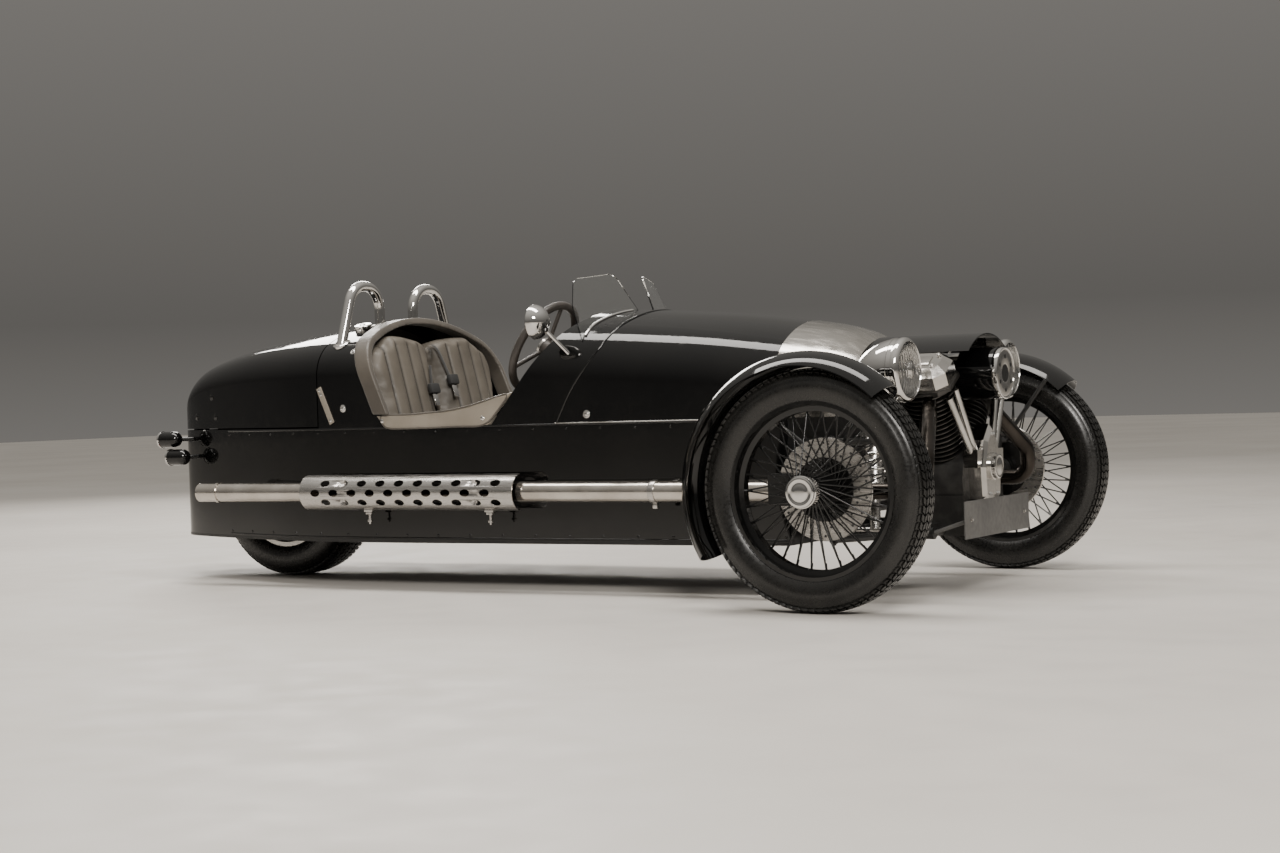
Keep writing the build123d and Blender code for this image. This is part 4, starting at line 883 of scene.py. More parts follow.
def touch(targets: Sequence[bpy.types.Object], start: Vector, way: Vector) -> tuple[Vector, Vector]:
    """Where a straight line first meets some objects.

    Args:
        targets: the objects.
        start: the line's start.
        way: its direction.

    Returns:
        The place and the surface's normal there.

    Raises:
        ValueError: if the line meets nothing.
    """
    best = None
    for target in targets:
        hit, place, normal, _ = target.ray_cast(start, way)
        if hit and (best is None or (place - start).length < (best[0] - start).length):
            best = (place, normal)
    if best is None:
        raise ValueError(f"nothing met from {tuple(start)} along {tuple(way)}")
    normal = best[1] if best[1].dot(way) < 0 else -best[1]
    return best[0], normal


@dataclass(frozen=True)
class TyreSection:
    """A tyre's section, as the half that the other half mirrors."""

    bead: tuple[tuple[float, float], ...]
    flank: tuple[tuple[float, float], ...]
    crown: tuple[tuple[float, float], ...]
    bore_drop: float
    first_twist: float

    def steps(self, outer: float, half: float, depth: float, twist: float) -> list[tuple[float, ...]]:
        """The steps from the inner bead round the tread and back.

        Args:
            outer: the tyre's radius.
            half: half its width.
            depth: how deep the tread is.
            twist: how far each row of blocks is turned, in radians.

        Returns:
            The steps.
        """
        near = [(-y, outer - drop) for y, drop in self.bead]
        near += [(-half + inset, outer - drop) for inset, drop in self.flank]
        crown = [(y, outer - depth - drop, twist * self.first_twist * (-1) ** row)
                 for row, (y, drop) in enumerate(self.crown)]
        far = [(-y, radius) for y, radius in reversed(near)]
        return [*near, *crown, *far, (0.0, outer - self.bore_drop)]


FRONT_SECTION = TyreSection(
    bead=((0.036, 0.094), (0.041, 0.088)),
    flank=((0.003, 0.072), (0.0, 0.052), (0.002, 0.036), (0.004, 0.034), (0.005, 0.025), (0.009, 0.0175)),
    crown=((-0.037, 0.0045), (-0.022, 0.001), (-0.0075, 0.0), (0.0075, 0.0), (0.022, 0.001), (0.037, 0.0045)),
    bore_drop=0.098, first_twist=1.0)
REAR_SECTION = TyreSection(
    bead=(),
    flank=((0.026, 0.116), (0.008, 0.100), (0.0, 0.070), (0.005, 0.038), (0.010, 0.024)),
    crown=((-0.070, 0.006), (-0.047, 0.002), (-0.024, 0.0005), (0.0, 0.0), (0.024, 0.0005), (0.047, 0.002),
           (0.070, 0.006)),
    bore_drop=0.120, first_twist=-1.0)


@dataclass
class FrontWheel:
    """One front wheel's hub cap, brake disc, spoke nipples and rim edges."""

    side: float
    body: str
    centre: Vector
    cap_radius: float = 0.0435
    disc_radius: float = 0.1445
    disc_bore: float = 0.088
    disc_place: float = 0.052
    disc_half: float = 0.0045
    drill_radius: float = 0.0038
    drill_rows: tuple[float, float] = (0.106, 0.130)
    drills_a_row: int = 18
    carrier_half: float = 0.007
    carrier_radii: tuple[float, float] = (0.060, 0.090)
    nipples_a_side: int = 30
    nipple_lace_deg: float = 36.0
    nipple_lean: float = 0.12
    rim_well: float = 0.222
    rim_edge_y: float = 0.037
    rim_edge_radius: float = 0.2525
    roll_radius: float = 0.0045
    roll_points: int = 10

    def placing(self) -> Matrix:
        """The wheel's frame, its Z along the axle and outwards."""
        return facing(self.centre, Vector((0, self.side, 0)))

    def hub_cap(self) -> None:
        """The chrome cap with its stepped ring."""
        r = self.cap_radius
        steps = [(0.0700, r), (0.094, r), (0.0945, r + 0.002), (0.0985, r + 0.002), (0.0995, r), (0.1072, r - 0.001),
                 (0.1088, r - 0.004), (0.1092, r - 0.010), (0.1082, r - 0.012), (0.1082, 0.024), (0.1094, 0.020),
                 (0.1102, 0.012), (0.1104, 0.003)]
        dress(turned(f"hub_cap_{self.body}", steps, self.placing(), 40), Slot(CHROME, self.body, "chrome"))

    def brake_disc(self) -> None:
        """The brake disc's bright faces, its rows of drillings filled with dark plugs as painted shade, and its
        carrier.
        """
        r, half, y, body, placing = self.disc_radius, self.disc_half, -self.disc_place, self.body, self.placing()
        steps = [(y - half, self.disc_bore), (y - half, r - 0.001), (y - half + 0.001, r), (y + half - 0.001, r),
                 (y + half, r - 0.001), (y + half, self.disc_bore)]
        dress(turned(f"brake_disc_{body}", steps, placing, 72, ring=True), Slot(STEEL, body, "steel"))
        reach = half + 0.0004
        # Each drilling is a dark plug through the disc: painted shade standing in for the hole.
        drill = turned("drilling", [(-reach, self.drill_radius), (reach, self.drill_radius)], sides=10)
        places = []
        for row, radius in enumerate(self.drill_rows):
            for index in range(self.drills_a_row):
                angle = math.tau * (index + row / 2) / self.drills_a_row
                places.append(placing @ Matrix.Translation((radius * math.cos(angle), radius * math.sin(angle), y)))
        dress(repeated(drill, f"drillings_{body}", places), Slot(BLACK_PLASTIC_AND_SHADE, body, "black_plastic"))
        half, (inner, outer) = self.carrier_half, self.carrier_radii
        carrier = [(y - half, inner), (y - half, outer), (y + half, outer), (y + half, inner)]
        dress(turned(f"disc_carrier_{body}", carrier, placing, 36, ring=True), Slot(WHEEL_PAINT, body, "cast_alloy"))

    def nipples(self) -> None:
        """The spoke nipples round the rim's well."""
        steps = [(-0.004, 0.0042), (0.0, 0.0042), (0.004, 0.0033), (0.018, 0.003), (0.020, 0.0025)]
        nipple = turned("nipple", steps, sides=8)
        places = []
        for index in range(self.nipples_a_side):
            for lace, inward in ((self.nipple_lace_deg, -1.0), (-self.nipple_lace_deg, 1.0)):
                angle = math.tau * index / self.nipples_a_side + math.radians(lace)
                out = Vector((math.cos(angle), 0.0, math.sin(angle)))
                lean = Vector((0, self.side * self.nipple_lean * inward, 0)) - out
                places.append(facing(self.centre + out * self.rim_well, lean.normalized()))
        dress(repeated(nipple, f"nipples_{self.body}", places), Slot(WHEEL_PAINT, self.body, "dark_steel"))

    def rim_edges(self) -> None:
        """The rolled edge of the rim, outside and inside."""
        rolls = []
        for y in (self.rim_edge_y, -self.rim_edge_y):
            angles = [index * math.tau / self.roll_points for index in range(self.roll_points)]
            steps = [(y + self.roll_radius * math.cos(angle), self.rim_edge_radius + self.roll_radius * math.sin(angle))
                     for angle in angles]
            rolls.append(turned("roll", steps, self.placing(), 96, ring=True))
        dress(joined(f"rim_edges_{self.body}", rolls), Slot(WHEEL_PAINT, self.body, "dark_steel"))

    def make(self) -> None:
        """Builds the wheel's trim."""
        self.hub_cap()
        self.brake_disc()
        self.nipples()
        self.rim_edges()


@dataclass
class Wheels:
    """The tyres with their tread, and the trim of the front wheels."""

    tread_depth: float = 0.006
    tread_sides: int = 92
    block_gap: float = 0.0022
    block_rows: tuple[float, float] = (-0.016, 0.001)

    def tyre(self, node_name: str, body: str, section: TyreSection) -> Vector:
        """A tyre turned from its section, with tread blocks raised out of its crown.

        Args:
            node_name: the solid that it replaces.
            body: the wheel's body.
            section: the tyre's section.

        Returns:
            The wheel's middle.
        """
        low, high = corners(node_name)
        middle = (low + high) / 2
        outer, half = (high.z - low.z) / 2, (high.y - low.y) / 2
        inner, farthest = (outer + row for row in self.block_rows)
        steps = section.steps(outer, half, self.tread_depth, math.pi / self.tread_sides)
        piece = turned(node_name + "_tread", steps, sides=self.tread_sides, ring=True)
        with editing(piece):
            count = pick_faces(piece, lambda place, normal: inner < math.hypot(place.x, place.y) < farthest
                               and normal.x * place.x + normal.y * place.y > 0)
            bpy.ops.mesh.inset(thickness=self.block_gap, use_individual=True)
            bpy.ops.mesh.extrude_faces_move(
                MESH_OT_extrude_faces_indiv={},
                TRANSFORM_OT_shrink_fatten={"value": self.tread_depth, "use_even_offset": False})
        piece.matrix_world = facing(middle, Vector((0, 1, 0)))
        settle(piece)
        log.info("%s has %d tread blocks", piece.name, count)
        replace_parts(dress(piece, Slot(RUBBER, body, "tyre"), 40.0), node_name)
        return middle

    def make(self) -> None:
        """Builds the trim of all three wheels."""
        for word, side in SIDES:
            body = f"road_wheel_{word}"
            FrontWheel(side, body, self.tyre(f"front_tyre_{word}", body, FRONT_SECTION)).make()
        self.tyre("rear_tyre", "road_wheel_rear", REAR_SECTION)


@dataclass
class Lamps:
    """The lenses, rims and bulbs of the head and tail lamps."""

    head_place: Vector = field(default_factory=lambda: Vector((1.440, 0.400, 0.666)))
    head_radius: float = 0.091
    tail_places: tuple[tuple[float, float, float], ...] = ((-1.550, 0.222, 0.503), (-1.500, 0.236, 0.439))
    tail_radius: float = 0.029
    tail_reach: float = 0.039
    lid_radius: float = 0.034

    def headlamp(self, word: str, side: float) -> None:
        """One headlamp's rim, fluted lens, bulb shield and band.

        Args:
            word: the side's name.
            side: -1 for the right lamp and 1 for the left.
        """
        placing = facing(Vector((self.head_place.x, side * self.head_place.y, self.head_place.z)), FORWARD)
        r = self.head_radius
        rim = [(-0.010, r - 0.003), (-0.008, r + 0.0015), (0.0, r + 0.0035), (0.008, r + 0.002), (0.014, r - 0.004),
               (0.016, r - 0.009), (0.013, r - 0.011), (0.002, r - 0.011)]
        dress(turned(f"headlamp_rim_{word}", rim, placing, 72, ring=True), CHROME_TRIM)
        lens = [(0.0105, r - 0.010), (0.0145, r - 0.012), (0.0195, r - 0.026), (0.0235, r - 0.045), (0.026, r - 0.065),
                (0.027, 0.012), (0.0272, 0.003)]
        dress(turned(f"headlamp_lens_{word}", lens, placing, 72), Slot(LAMP_GLASS, "car", "clear"), 60.0)
        bulb = [(0.0102, 0.026), (0.0135, 0.024), (0.017, 0.017), (0.019, 0.008), (0.0193, 0.002)]
        dress(turned(f"headlamp_bulb_{word}", bulb, placing, 32), CHROME_TRIM)
        band = [(-0.032, r - 0.0055), (-0.030, r + 0.0012), (-0.022, r + 0.0022), (-0.020, r - 0.002)]
        dress(turned(f"headlamp_band_{word}", band, placing, 72, ring=True), CHROME_TRIM)

    def tail_lamp(self, name: str, place: Vector) -> None:
        """One tail lamp's red lens and bright rim.

        Args:
            name: the lamp's name.
            place: the middle of the lamp's body.
        """
        placing = facing(place, BACKWARD)
        r, reach = self.tail_radius, self.tail_reach
        rim = [(reach - 0.006, r - 0.001), (reach - 0.004, r + 0.0018), (reach + 0.001, r + 0.0015),
               (reach + 0.002, r - 0.003), (reach - 0.006, r - 0.003)]
        dress(turned(f"{name}_rim", rim, placing, 32, ring=True), CHROME_TRIM)
        lens = [(reach - 0.001, r - 0.003), (reach + 0.003, r - 0.004), (reach + 0.006, r - 0.010),
                (reach + 0.0075, r - 0.020), (reach + 0.008, 0.002)]
        dress(turned(f"{name}_lens", lens, placing, 32), Slot(LAMP_RED, "car", "red_lamp"), 60.0)

    def lid_lamp(self) -> None:
        """The rim of the lamp on the end of the lid."""
        low, high = corners("lid_lamp")
        placing = facing(Vector((low.x, 0.0, (low.z + high.z) / 2)), BACKWARD)
        r = self.lid_radius
        rim = [(-0.012, r), (-0.010, r + 0.003), (-0.003, r + 0.003), (-0.0005, r - 0.001), (-0.001, r - 0.004),
               (-0.012, r - 0.004)]
        dress(turned("lid_lamp_rim", rim, placing, 40, ring=True), Slot(CHROME, "lid", "chrome"))

    def make(self) -> None:
        """Builds the trim of every lamp."""
        for word, side in SIDES:
            self.headlamp(word, side)
            for index, (x, y, z) in enumerate(self.tail_places):
                self.tail_lamp(f"tail_lamp_{word}_{index + 1}", Vector((x, side * y, z)))
        self.lid_lamp()


@dataclass
class SoftSeat:
    """One stuffed seat piece: a solid's half, swelled by cloth and pleated."""

    node: bpy.types.Object
    name: str
    side: float
    facing_axis: Vector
    pleats: int = 5
    pleat_depth: float = 0.016
    border: float = 0.014
    voxel: float = 0.0078
    shrink: float = 0.97
    puff: float = 4.0
    travel: float = 0.022
    shoulder_drop: float = 0.048
    bow: float = 0.020
    steps: int = 20

    def half(self) -> bpy.types.Object:
        """A copy of the solid on this side of the car alone.

        Returns:
            The copy, a little smaller than the solid.
        """
        piece = copy_of(self.node, self.name)
        with editing(piece):
            pick_faces(piece, lambda place, normal: place.y * self.side < 0)
            bpy.ops.mesh.delete(type="FACE")
        with editing(piece):
            middle = sum((vert.co for vert in bmesh.from_edit_mesh(piece.data).verts), Vector())
            middle = middle / len(bmesh.from_edit_mesh(piece.data).verts)
            bpy.ops.mesh.select_all(action="SELECT")
            bpy.ops.transform.resize(value=(self.shrink,) * 3, center_override=middle)
        return piece

    def soften(self, piece: bpy.types.Object) -> None:
        """Rounds the form and lets cloth under pressure swell it.

        Args:
            piece: the seat piece.
        """
        apply_modifier(piece, "REMESH", mode="VOXEL", voxel_size=self.voxel)
        apply_modifier(piece, "SMOOTH", factor=0.6, iterations=6)
        before = [vert.co.copy() for vert in piece.data.vertices]
        make_active(piece)
        cloth = piece.modifiers.new("cloth", "CLOTH")
        cloth.settings.use_pressure = True
        cloth.settings.uniform_pressure_force = self.puff
        cloth.settings.effector_weights.gravity = 0.0
        scene = bpy.context.scene
        for step in range(1, self.steps + 1):
            scene.frame_set(step)
        bpy.ops.object.modifier_apply(modifier=cloth.name)
        scene.frame_set(1)
        for vert, old in zip(piece.data.vertices, before):
            move = vert.co - old
            if move.length > self.travel:
                vert.co = old + move.normalized() * self.travel
        apply_modifier(piece, "SMOOTH", factor=0.5, iterations=8)

    def crown(self, piece: bpy.types.Object) -> None:
        """Rounds the shoulders of a back and bows its face forwards.

        Args:
            piece: the seat piece.
        """
        if self.facing_axis.x < 0.5:
            return
        spots = [vert.co for vert in piece.data.vertices]
        low, high = min(spot.y for spot in spots), max(spot.y for spot in spots)
        foot, top = min(spot.z for spot in spots), max(spot.z for spot in spots)
        for vert in piece.data.vertices:
            across = abs(2.0 * (vert.co.y - low) / (high - low) - 1.0)
            rise = max(0.0, (vert.co.z - foot) / (top - foot) - 0.45) / 0.55
            vert.co.z -= self.shoulder_drop * across ** 2.6 * rise * rise
            vert.co.x -= self.bow * across ** 3

    def fit_width(self, piece: bpy.types.Object) -> None:
        """Brings the piece back to the width and the height of its solid.

        Args:
            piece: the seat piece.
        """
        solid = [vert.co for vert in self.node.data.vertices if vert.co.y * self.side > 0]
        for axis in (1, 2):
            low, high = min(spot[axis] for spot in solid) + 0.001, max(spot[axis] for spot in solid) - 0.001
            mine = [vert.co[axis] for vert in piece.data.vertices]
            stretch = (high - low) / (max(mine) - min(mine))
            start = min(mine)
            for vert in piece.data.vertices:
                vert.co[axis] = low + (vert.co[axis] - start) * stretch

    def pleat(self, piece: bpy.types.Object) -> None:
        """Sews the channels into the side that faces the rider, and marks painted shade along their valleys.

        Args:
            piece: the seat piece.
        """
        spots = [vert.co for vert in piece.data.vertices]
        low = min(spot.y for spot in spots) + self.border
        high = max(spot.y for spot in spots) - self.border
        pitch = (high - low) / self.pleats
        z_high = max(spot.z for spot in spots)
        normals = [vert.normal.copy() for vert in piece.data.vertices]
        crease_shade = [0.0] * len(normals)
        for vert, normal in zip(piece.data.vertices, normals):
            towards = max(0.0, normal.dot(self.facing_axis))
            if towards < 0.2:
                continue
            phase = (vert.co.y - low) / pitch
            if -0.5 < phase < self.pleats + 0.5:
                across = abs(2.0 * (phase % 1.0) - 1.0)
                valley = 1.0 - math.sqrt(max(0.0, 1.0 - across * across))
                fade = min(1.0, max(0.0, (z_high - vert.co.z) / 0.03)) if self.facing_axis.x > 0.5 else 1.0
                vert.co -= normal * self.pleat_depth * valley * fade * towards
                # Painted shade: a mask that darkens the leather at the bottom of each valley.
                crease_shade[vert.index] = min(1.0, max(0.0, (across - 0.70) / 0.28)) * fade * min(1.0, towards * 1.6)
        piece.data.attributes.new("crease_shade", "FLOAT", "POINT").data.foreach_set("value", crease_shade)

    def make(self) -> bpy.types.Object:
        """Builds the seat piece.

        Returns:
            The object.
        """
        piece = self.half()
        self.soften(piece)
        self.fit_width(piece)
        self.crown(piece)
        apply_modifier(piece, "SUBSURF", levels=1, render_levels=1)
        self.pleat(piece)
        dress(piece, Slot(LEATHER, "car", "leather_tan"), 180.0)
        return piece


@dataclass
class Leather:
    """The seats, the band round the cockpit, the side pads and their piping."""

    nodes: dict[str, bpy.types.Object]
    piping: float = 0.0034
    pad_outline: tuple[tuple[float, float], ...] = (
        (-0.041, 0.528), (0.010, 0.584), (0.060, 0.640), (-0.014, 0.621), (-0.088, 0.602), (-0.153, 0.592),
        (-0.218, 0.582), (-0.278, 0.5775), (-0.338, 0.573), (-0.408, 0.573), (-0.478, 0.573), (-0.458, 0.550),
        (-0.438, 0.528), (-0.340, 0.528), (-0.240, 0.528), (-0.140, 0.528))
    pad_middle: tuple[float, float] = (-0.16, 0.556)
    snap_places: tuple[tuple[float, float], ...] = ((-0.455, 0.554), (-0.052, 0.556))

    def seats(self) -> list[bpy.types.Object]:
        """The two backs and the two cushions.

        Returns:
            The backs.
        """
        made = {}
        for kind, way, travel in (("back", Vector((1, 0, 0.25)).normalized(), 0.022), ("cushion", UP, 0.016)):
            node = f"seat_{kind}s"
            made[kind] = [SoftSeat(self.nodes[node], f"seat_{kind}_{word}", side, way, travel=travel).make()
                          for word, side in SIDES]
            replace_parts(made[kind][0], node)
        return made["back"]

    def padded_copy(self, node_name: str, finish: Finish, voxel: float = 0.004) -> bpy.types.Object:
        """A pad with soft edges in the form of its solid.

        Args:
            node_name: the solid.
            finish: its leather.
            voxel: the fineness of its surface.

        Returns:
            The pad.
        """
        piece = copy_of(self.nodes[node_name], node_name + "_soft")
        apply_modifier(piece, "REMESH", mode="VOXEL", voxel_size=voxel)
        apply_modifier(piece, "SMOOTH", factor=0.5, iterations=5)
        dress(piece, Slot(finish, "car", "leather_tan"), 180.0)
        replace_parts(piece, node_name)
        return piece

    def on_pad(self, pad: bpy.types.Object, x: float, z: float, side: float) -> tuple[Vector, Vector]:
        """The place on the pad nearest to a corner of its outline.

        Args:
            pad: the soft pads.
            x: the corner's place along.
            z: the corner's height.
            side: -1 for the right and 1 for the left.

        Returns:
            The place and the way the pad faces there.
        """
        corner, middle = Vector((x, z)), Vector(self.pad_middle)
        for step in range(1, 24):
            spot = corner + (middle - corner).normalized() * 0.004 * step
            hit, place, normal, _ = pad.ray_cast(Vector((spot.x, side, spot.y)), Vector((0, -side, 0)))
            if hit and place.y * side > 0:
                return place, normal
        raise ValueError(f"the pad isn't met at {x}, {z}")

    def outline_piping(self, pad: bpy.types.Object) -> None:
        """The piping and the press studs of both side pads.

        Args:
            pad: the soft pads.
        """
        lines = []
        stud = turned("stud", [(0.0, 0.0075), (0.0015, 0.0075), (0.003, 0.006), (0.0036, 0.003), (0.0037, 0.001)],
                      sides=16)
        places = []
        for side in (-1.0, 1.0):
            points = []
            for x, z in self.pad_outline:
                place, normal = self.on_pad(pad, x, z, side)
                points.append(place + normal * self.piping * 0.4)
            lines.append(tube("piping", points, self.piping, closed=True))
            for x, z in self.snap_places:
                place, normal = self.on_pad(pad, x, z, side)
                places.append(facing(place, normal))
        dress(joined("side_pad_piping", lines), Slot(BAND_LEATHER, "car", "leather_tan"), 180.0)
        dress(repeated(stud, "side_pad_studs", places), CHROME_TRIM)

    def make(self) -> list[bpy.types.Object]:
        """Builds all the leather.

        Returns:
            The seat backs.
        """
        backs = self.seats()
        self.padded_copy("cockpit_roll", BAND_LEATHER)
        self.outline_piping(self.padded_copy("side_pads", PALE_LEATHER))
        return backs


@dataclass
class Harness:
    """The shoulder belts down the seat backs."""

    backs: list[bpy.types.Object]
    half_width: float = 0.018
    thickness: float = 0.0025
    lift: float = 0.007
    runs: tuple[tuple[tuple[float, float], ...], ...] = (
        ((-0.050, 0.745), (-0.062, 0.705), (-0.074, 0.660), (-0.080, 0.618)),
        ((0.020, 0.835), (0.026, 0.790), (0.038, 0.735), (0.050, 0.690), (0.058, 0.650)),
    )

    def strap(self, name: str, back: bpy.types.Object, run: tuple[tuple[float, float], ...]) -> None:
        """One webbing strap laid down a seat back, with its latch and tongue.

        Args:
            name: its name.
            back: the seat back.
            run: the places across and up that it passes.
        """
        rows = []
        for (y0, z0), (y1, z1) in zip(run, run[1:]):
            for step in range(6):
                share = step / 6
                y, z = y0 + (y1 - y0) * share, z0 + (z1 - z0) * share
                met = [back.ray_cast(Vector((1.0, y + across, z)), BACKWARD)
                       for across in (-self.half_width, 0.0, self.half_width)]
                fronts = [place.x for hit, place, _, _ in met if hit]
                if fronts:
                    rows.append((max(fronts) + self.lift, y, z))
        clear_selection()
        bpy.ops.mesh.primitive_plane_add(size=1.0)
        piece = bpy.context.object
        piece.name = name
        with editing(piece):
            bpy.ops.mesh.select_all(action="SELECT")
            bpy.ops.mesh.delete(type="VERT")
            mesh = bmesh.from_edit_mesh(piece.data)
            pairs = [(mesh.verts.new((x, y - self.half_width, z)), mesh.verts.new((x, y + self.half_width, z)))
                     for x, y, z in rows]
            for upper, lower in zip(pairs, pairs[1:]):
                mesh.faces.new((upper[0], upper[1], lower[1], lower[0]))
            bmesh.update_edit_mesh(piece.data)
        apply_modifier(piece, "SMOOTH", factor=0.5, iterations=4)
        apply_modifier(piece, "SOLIDIFY", thickness=self.thickness, offset=1.0)
        apply_modifier(piece, "SUBSURF", levels=1, render_levels=1)
        mend_normals(piece)
        dress(piece, Slot(WEBBING, "car", "black_plastic"), 60.0)
        x, y, z = rows[-6]
        latch = slab(name + "_latch", (0.018, 0.050, 0.036), facing_up(Vector((x + 0.008, y, z))), 0.005)
        dress(latch, PLASTIC_TRIM)
        tongue = slab(name + "_tongue", (0.005, 0.026, 0.050), facing_up(Vector((x + 0.015, y, z - 0.036))), 0.002)
        dress(tongue, CHROME_TRIM)

    def make(self) -> None:
        """Builds the straps of both seats."""
        for word, back, run in zip(("right", "left"), self.backs, self.runs):
            self.strap(f"belt_{word}", back, run)


@dataclass
class BodyTrim:
    """Rivets, mouldings, fasteners, straps and the filler on the body."""

    nodes: dict[str, bpy.types.Object]
    rivet_radius: float = 0.0052
    rivet_pitch: float = 0.120
    rivet_rows: tuple[float, ...] = (0.176, 0.518)
    rivet_ends: tuple[float, float] = (-1.235, 1.000)
    fasteners: tuple[tuple[float, float], ...] = ((0.331, 0.561), (0.752, 0.559))
    lid_fasteners: tuple[tuple[float, float], ...] = ((-1.456, 0.584), (-1.323, 0.582), (-1.345, 0.654))
    deck_fasteners: tuple[tuple[float, float], ...] = ((-0.590, 0.790), (-0.620, 0.600))
    bead_side: tuple[tuple[float, float], ...] = (
        (0.220, 0.537), (0.245, 0.586), (0.275, 0.638), (0.302, 0.675), (0.330, 0.712), (0.362, 0.757), (0.386, 0.800))
    bead_top: tuple[tuple[float, float], ...] = (
        (0.401, 0.254), (0.410, 0.200), (0.418, 0.149), (0.424, 0.083), (0.427, 0.0))
    bead_points: int = 24
    waist_top: float = 0.5335
    seam_radius: float = 0.0046
    hoop_x: float = -0.671
    hoop_legs: tuple[float, float] = (0.096, 0.311)
    filler_tilt_deg: float = 15.4
    filler_shift: float = -0.002
    filler_drop: float = 0.0070
    strap_top: Vector = field(default_factory=lambda: Vector((-0.726, 0.0, 0.672)))
    strap_foot: Vector = field(default_factory=lambda: Vector((-0.668, 0.0, 0.550)))

    def side_point(self, names: Sequence[str], x: float, z: float, side: float) -> tuple[Vector, Vector]:
        """A place on the side of the body and the way it faces."""
        return touch([self.nodes[name] for name in names], Vector((x, side * 1.2, z)), Vector((0, -side, 0)))

    def rivets(self) -> None:
        """The rivet rows along the tub."""
        r = self.rivet_radius
        rivet = turned("rivet", [(-0.0005, r), (0.0010, r * 0.9), (0.0020, r * 0.55), (0.0023, r * 0.15)], sides=8)
        places = []
        low, high = self.rivet_ends
        count = int((high - low) / self.rivet_pitch)
        for side in (-1.0, 1.0):
            for z in self.rivet_rows:
                for index in range(count + 1):
                    x = low + (high - low) * index / count
                    places.append(facing(*self.side_point(("tub_sides", "tub_tail"), x, z, side)))
        dress(repeated(rivet, "tub_rivets", places), PAINT_TRIM, 60.0)

    def mouldings(self) -> None:
        """The beads along the waist and the foot of the tub."""
        panels = ("tub_sides", "tub_tail")
        runs = (("waist_bead", 0.5305, 0.0042, PAINT, (-1.240, 1.005)),
                ("foot_bead", 0.166, 0.0036, PAINT, (-1.240, 1.005)),
                ("ledge_bead", 0.5345, 0.0026, POLISHED, (0.215, 1.000)))
        for name, z, radius, finish, (low, high) in runs:
            lines = []
            for side in (-1.0, 1.0):
                points = []
                for index in range(self.bead_points):
                    x = low + (high - low) * index / (self.bead_points - 1)
                    place, _ = self.side_point(panels, x, min(z, self.waist_top), side)
                    points.append(Vector((place.x, place.y, z)))
                lines.append(tube("bead", points, radius))
            dress(joined(name, lines), Slot(finish, "car", "black_paint" if finish is PAINT else "polished"), 60.0)

    def quarter_turns(self) -> None:
        """The round fasteners of the bonnet, the deck and the lid."""
        steps = [(-0.001, 0.0125), (0.0012, 0.0125), (0.0022, 0.0112), (0.0024, 0.0098), (0.0014, 0.0092),
                 (0.0014, 0.008), (0.0026, 0.0070), (0.0034, 0.0045), (0.0036, 0.0012)]
        groups = (("bonnet_fasteners", "car", self.fasteners, ("bonnet", "scuttle"), CHROME),
                  ("deck_fasteners", "car", self.deck_fasteners, ("rear_deck",), CHROME),
                  ("lid_fasteners", "lid", self.lid_fasteners, ("tail_lid",), PAINT))
        for name, body, spots, panels, finish in groups:
            places = []
            for side in (-1.0, 1.0):
                for x, z in spots:
                    places.append(facing(*self.side_point(panels, x, z, side)))
            fastener = turned("fastener", steps, sides=24)
            dress(repeated(fastener, name, places), Slot(finish, body, "chrome" if finish is CHROME else "black_paint"))

    def seam(self) -> None:
        """The rolled bead over the join of the scuttle and the bonnet."""
        panels = [self.nodes["scuttle"], self.nodes["bonnet"]]
        half = [touch(panels, Vector((x, -1.2, z)), Vector((0, 1, 0)))[0] for x, z in self.bead_side]
        half += [touch(panels, Vector((x, -y, ABOVE)), DOWN)[0] for x, y in self.bead_top]
        rest = [Vector((point.x, -point.y, point.z)) for point in half[-2::-1]]
        dress(tube("scuttle_bead", half + rest, self.seam_radius), PAINT_TRIM, 60.0)

    def straps(self) -> None:
        """The pale straps that hold the lid down, with their buttons."""
        for word, side in SIDES:
            (top, out), (foot, _) = (self.side_point(("rear_deck", "tail_lid"), spot.x, spot.z, side)
                                     for spot in (self.strap_top, self.strap_foot))
            along = (foot - top).normalized()
            across = out.cross(along).normalized()
            turn = Matrix((along, across, out)).transposed().to_4x4()
            middle = Matrix.Translation((top + foot) / 2 + out * 0.003) @ turn
            strap = slab(f"lid_strap_{word}", ((foot - top).length, 0.023, 0.0032), middle, 0.0012)
            dress(strap, Slot(PALE_LEATHER, "car", "leather_tan"))
            stud = turned("strap_stud", [(0.0, 0.0055), (0.0012, 0.0055), (0.0024, 0.004), (0.0028, 0.001)], sides=14)
            places = [Matrix.Translation(top + out * 0.0045 + along * reach) @ turn
                      for reach in (0.010, 0.026, (foot - top).length - 0.012)]
            dress(repeated(stud, f"lid_strap_studs_{word}", places), CHROME_TRIM)

    def filler(self) -> None:
        """The domed ring on the fuel filler."""
        low, high = corners("filler_cap")
        tilt = math.radians(self.filler_tilt_deg)
        axis = Vector((0, -math.sin(tilt), math.cos(tilt)))
        crown = Vector(((low.x + high.x) / 2, (low.y + high.y) / 2 + self.filler_shift,
                        high.z - self.filler_drop))
        steps = [(-0.008, 0.0295), (-0.006, 0.0315), (0.0, 0.0315), (0.002, 0.0295), (0.003, 0.024), (0.0022, 0.021),
                 (0.0028, 0.012), (0.0055, 0.009), (0.0065, 0.003)]
        dress(turned("filler_ring", steps, facing(crown, axis), 40), CHROME_TRIM)

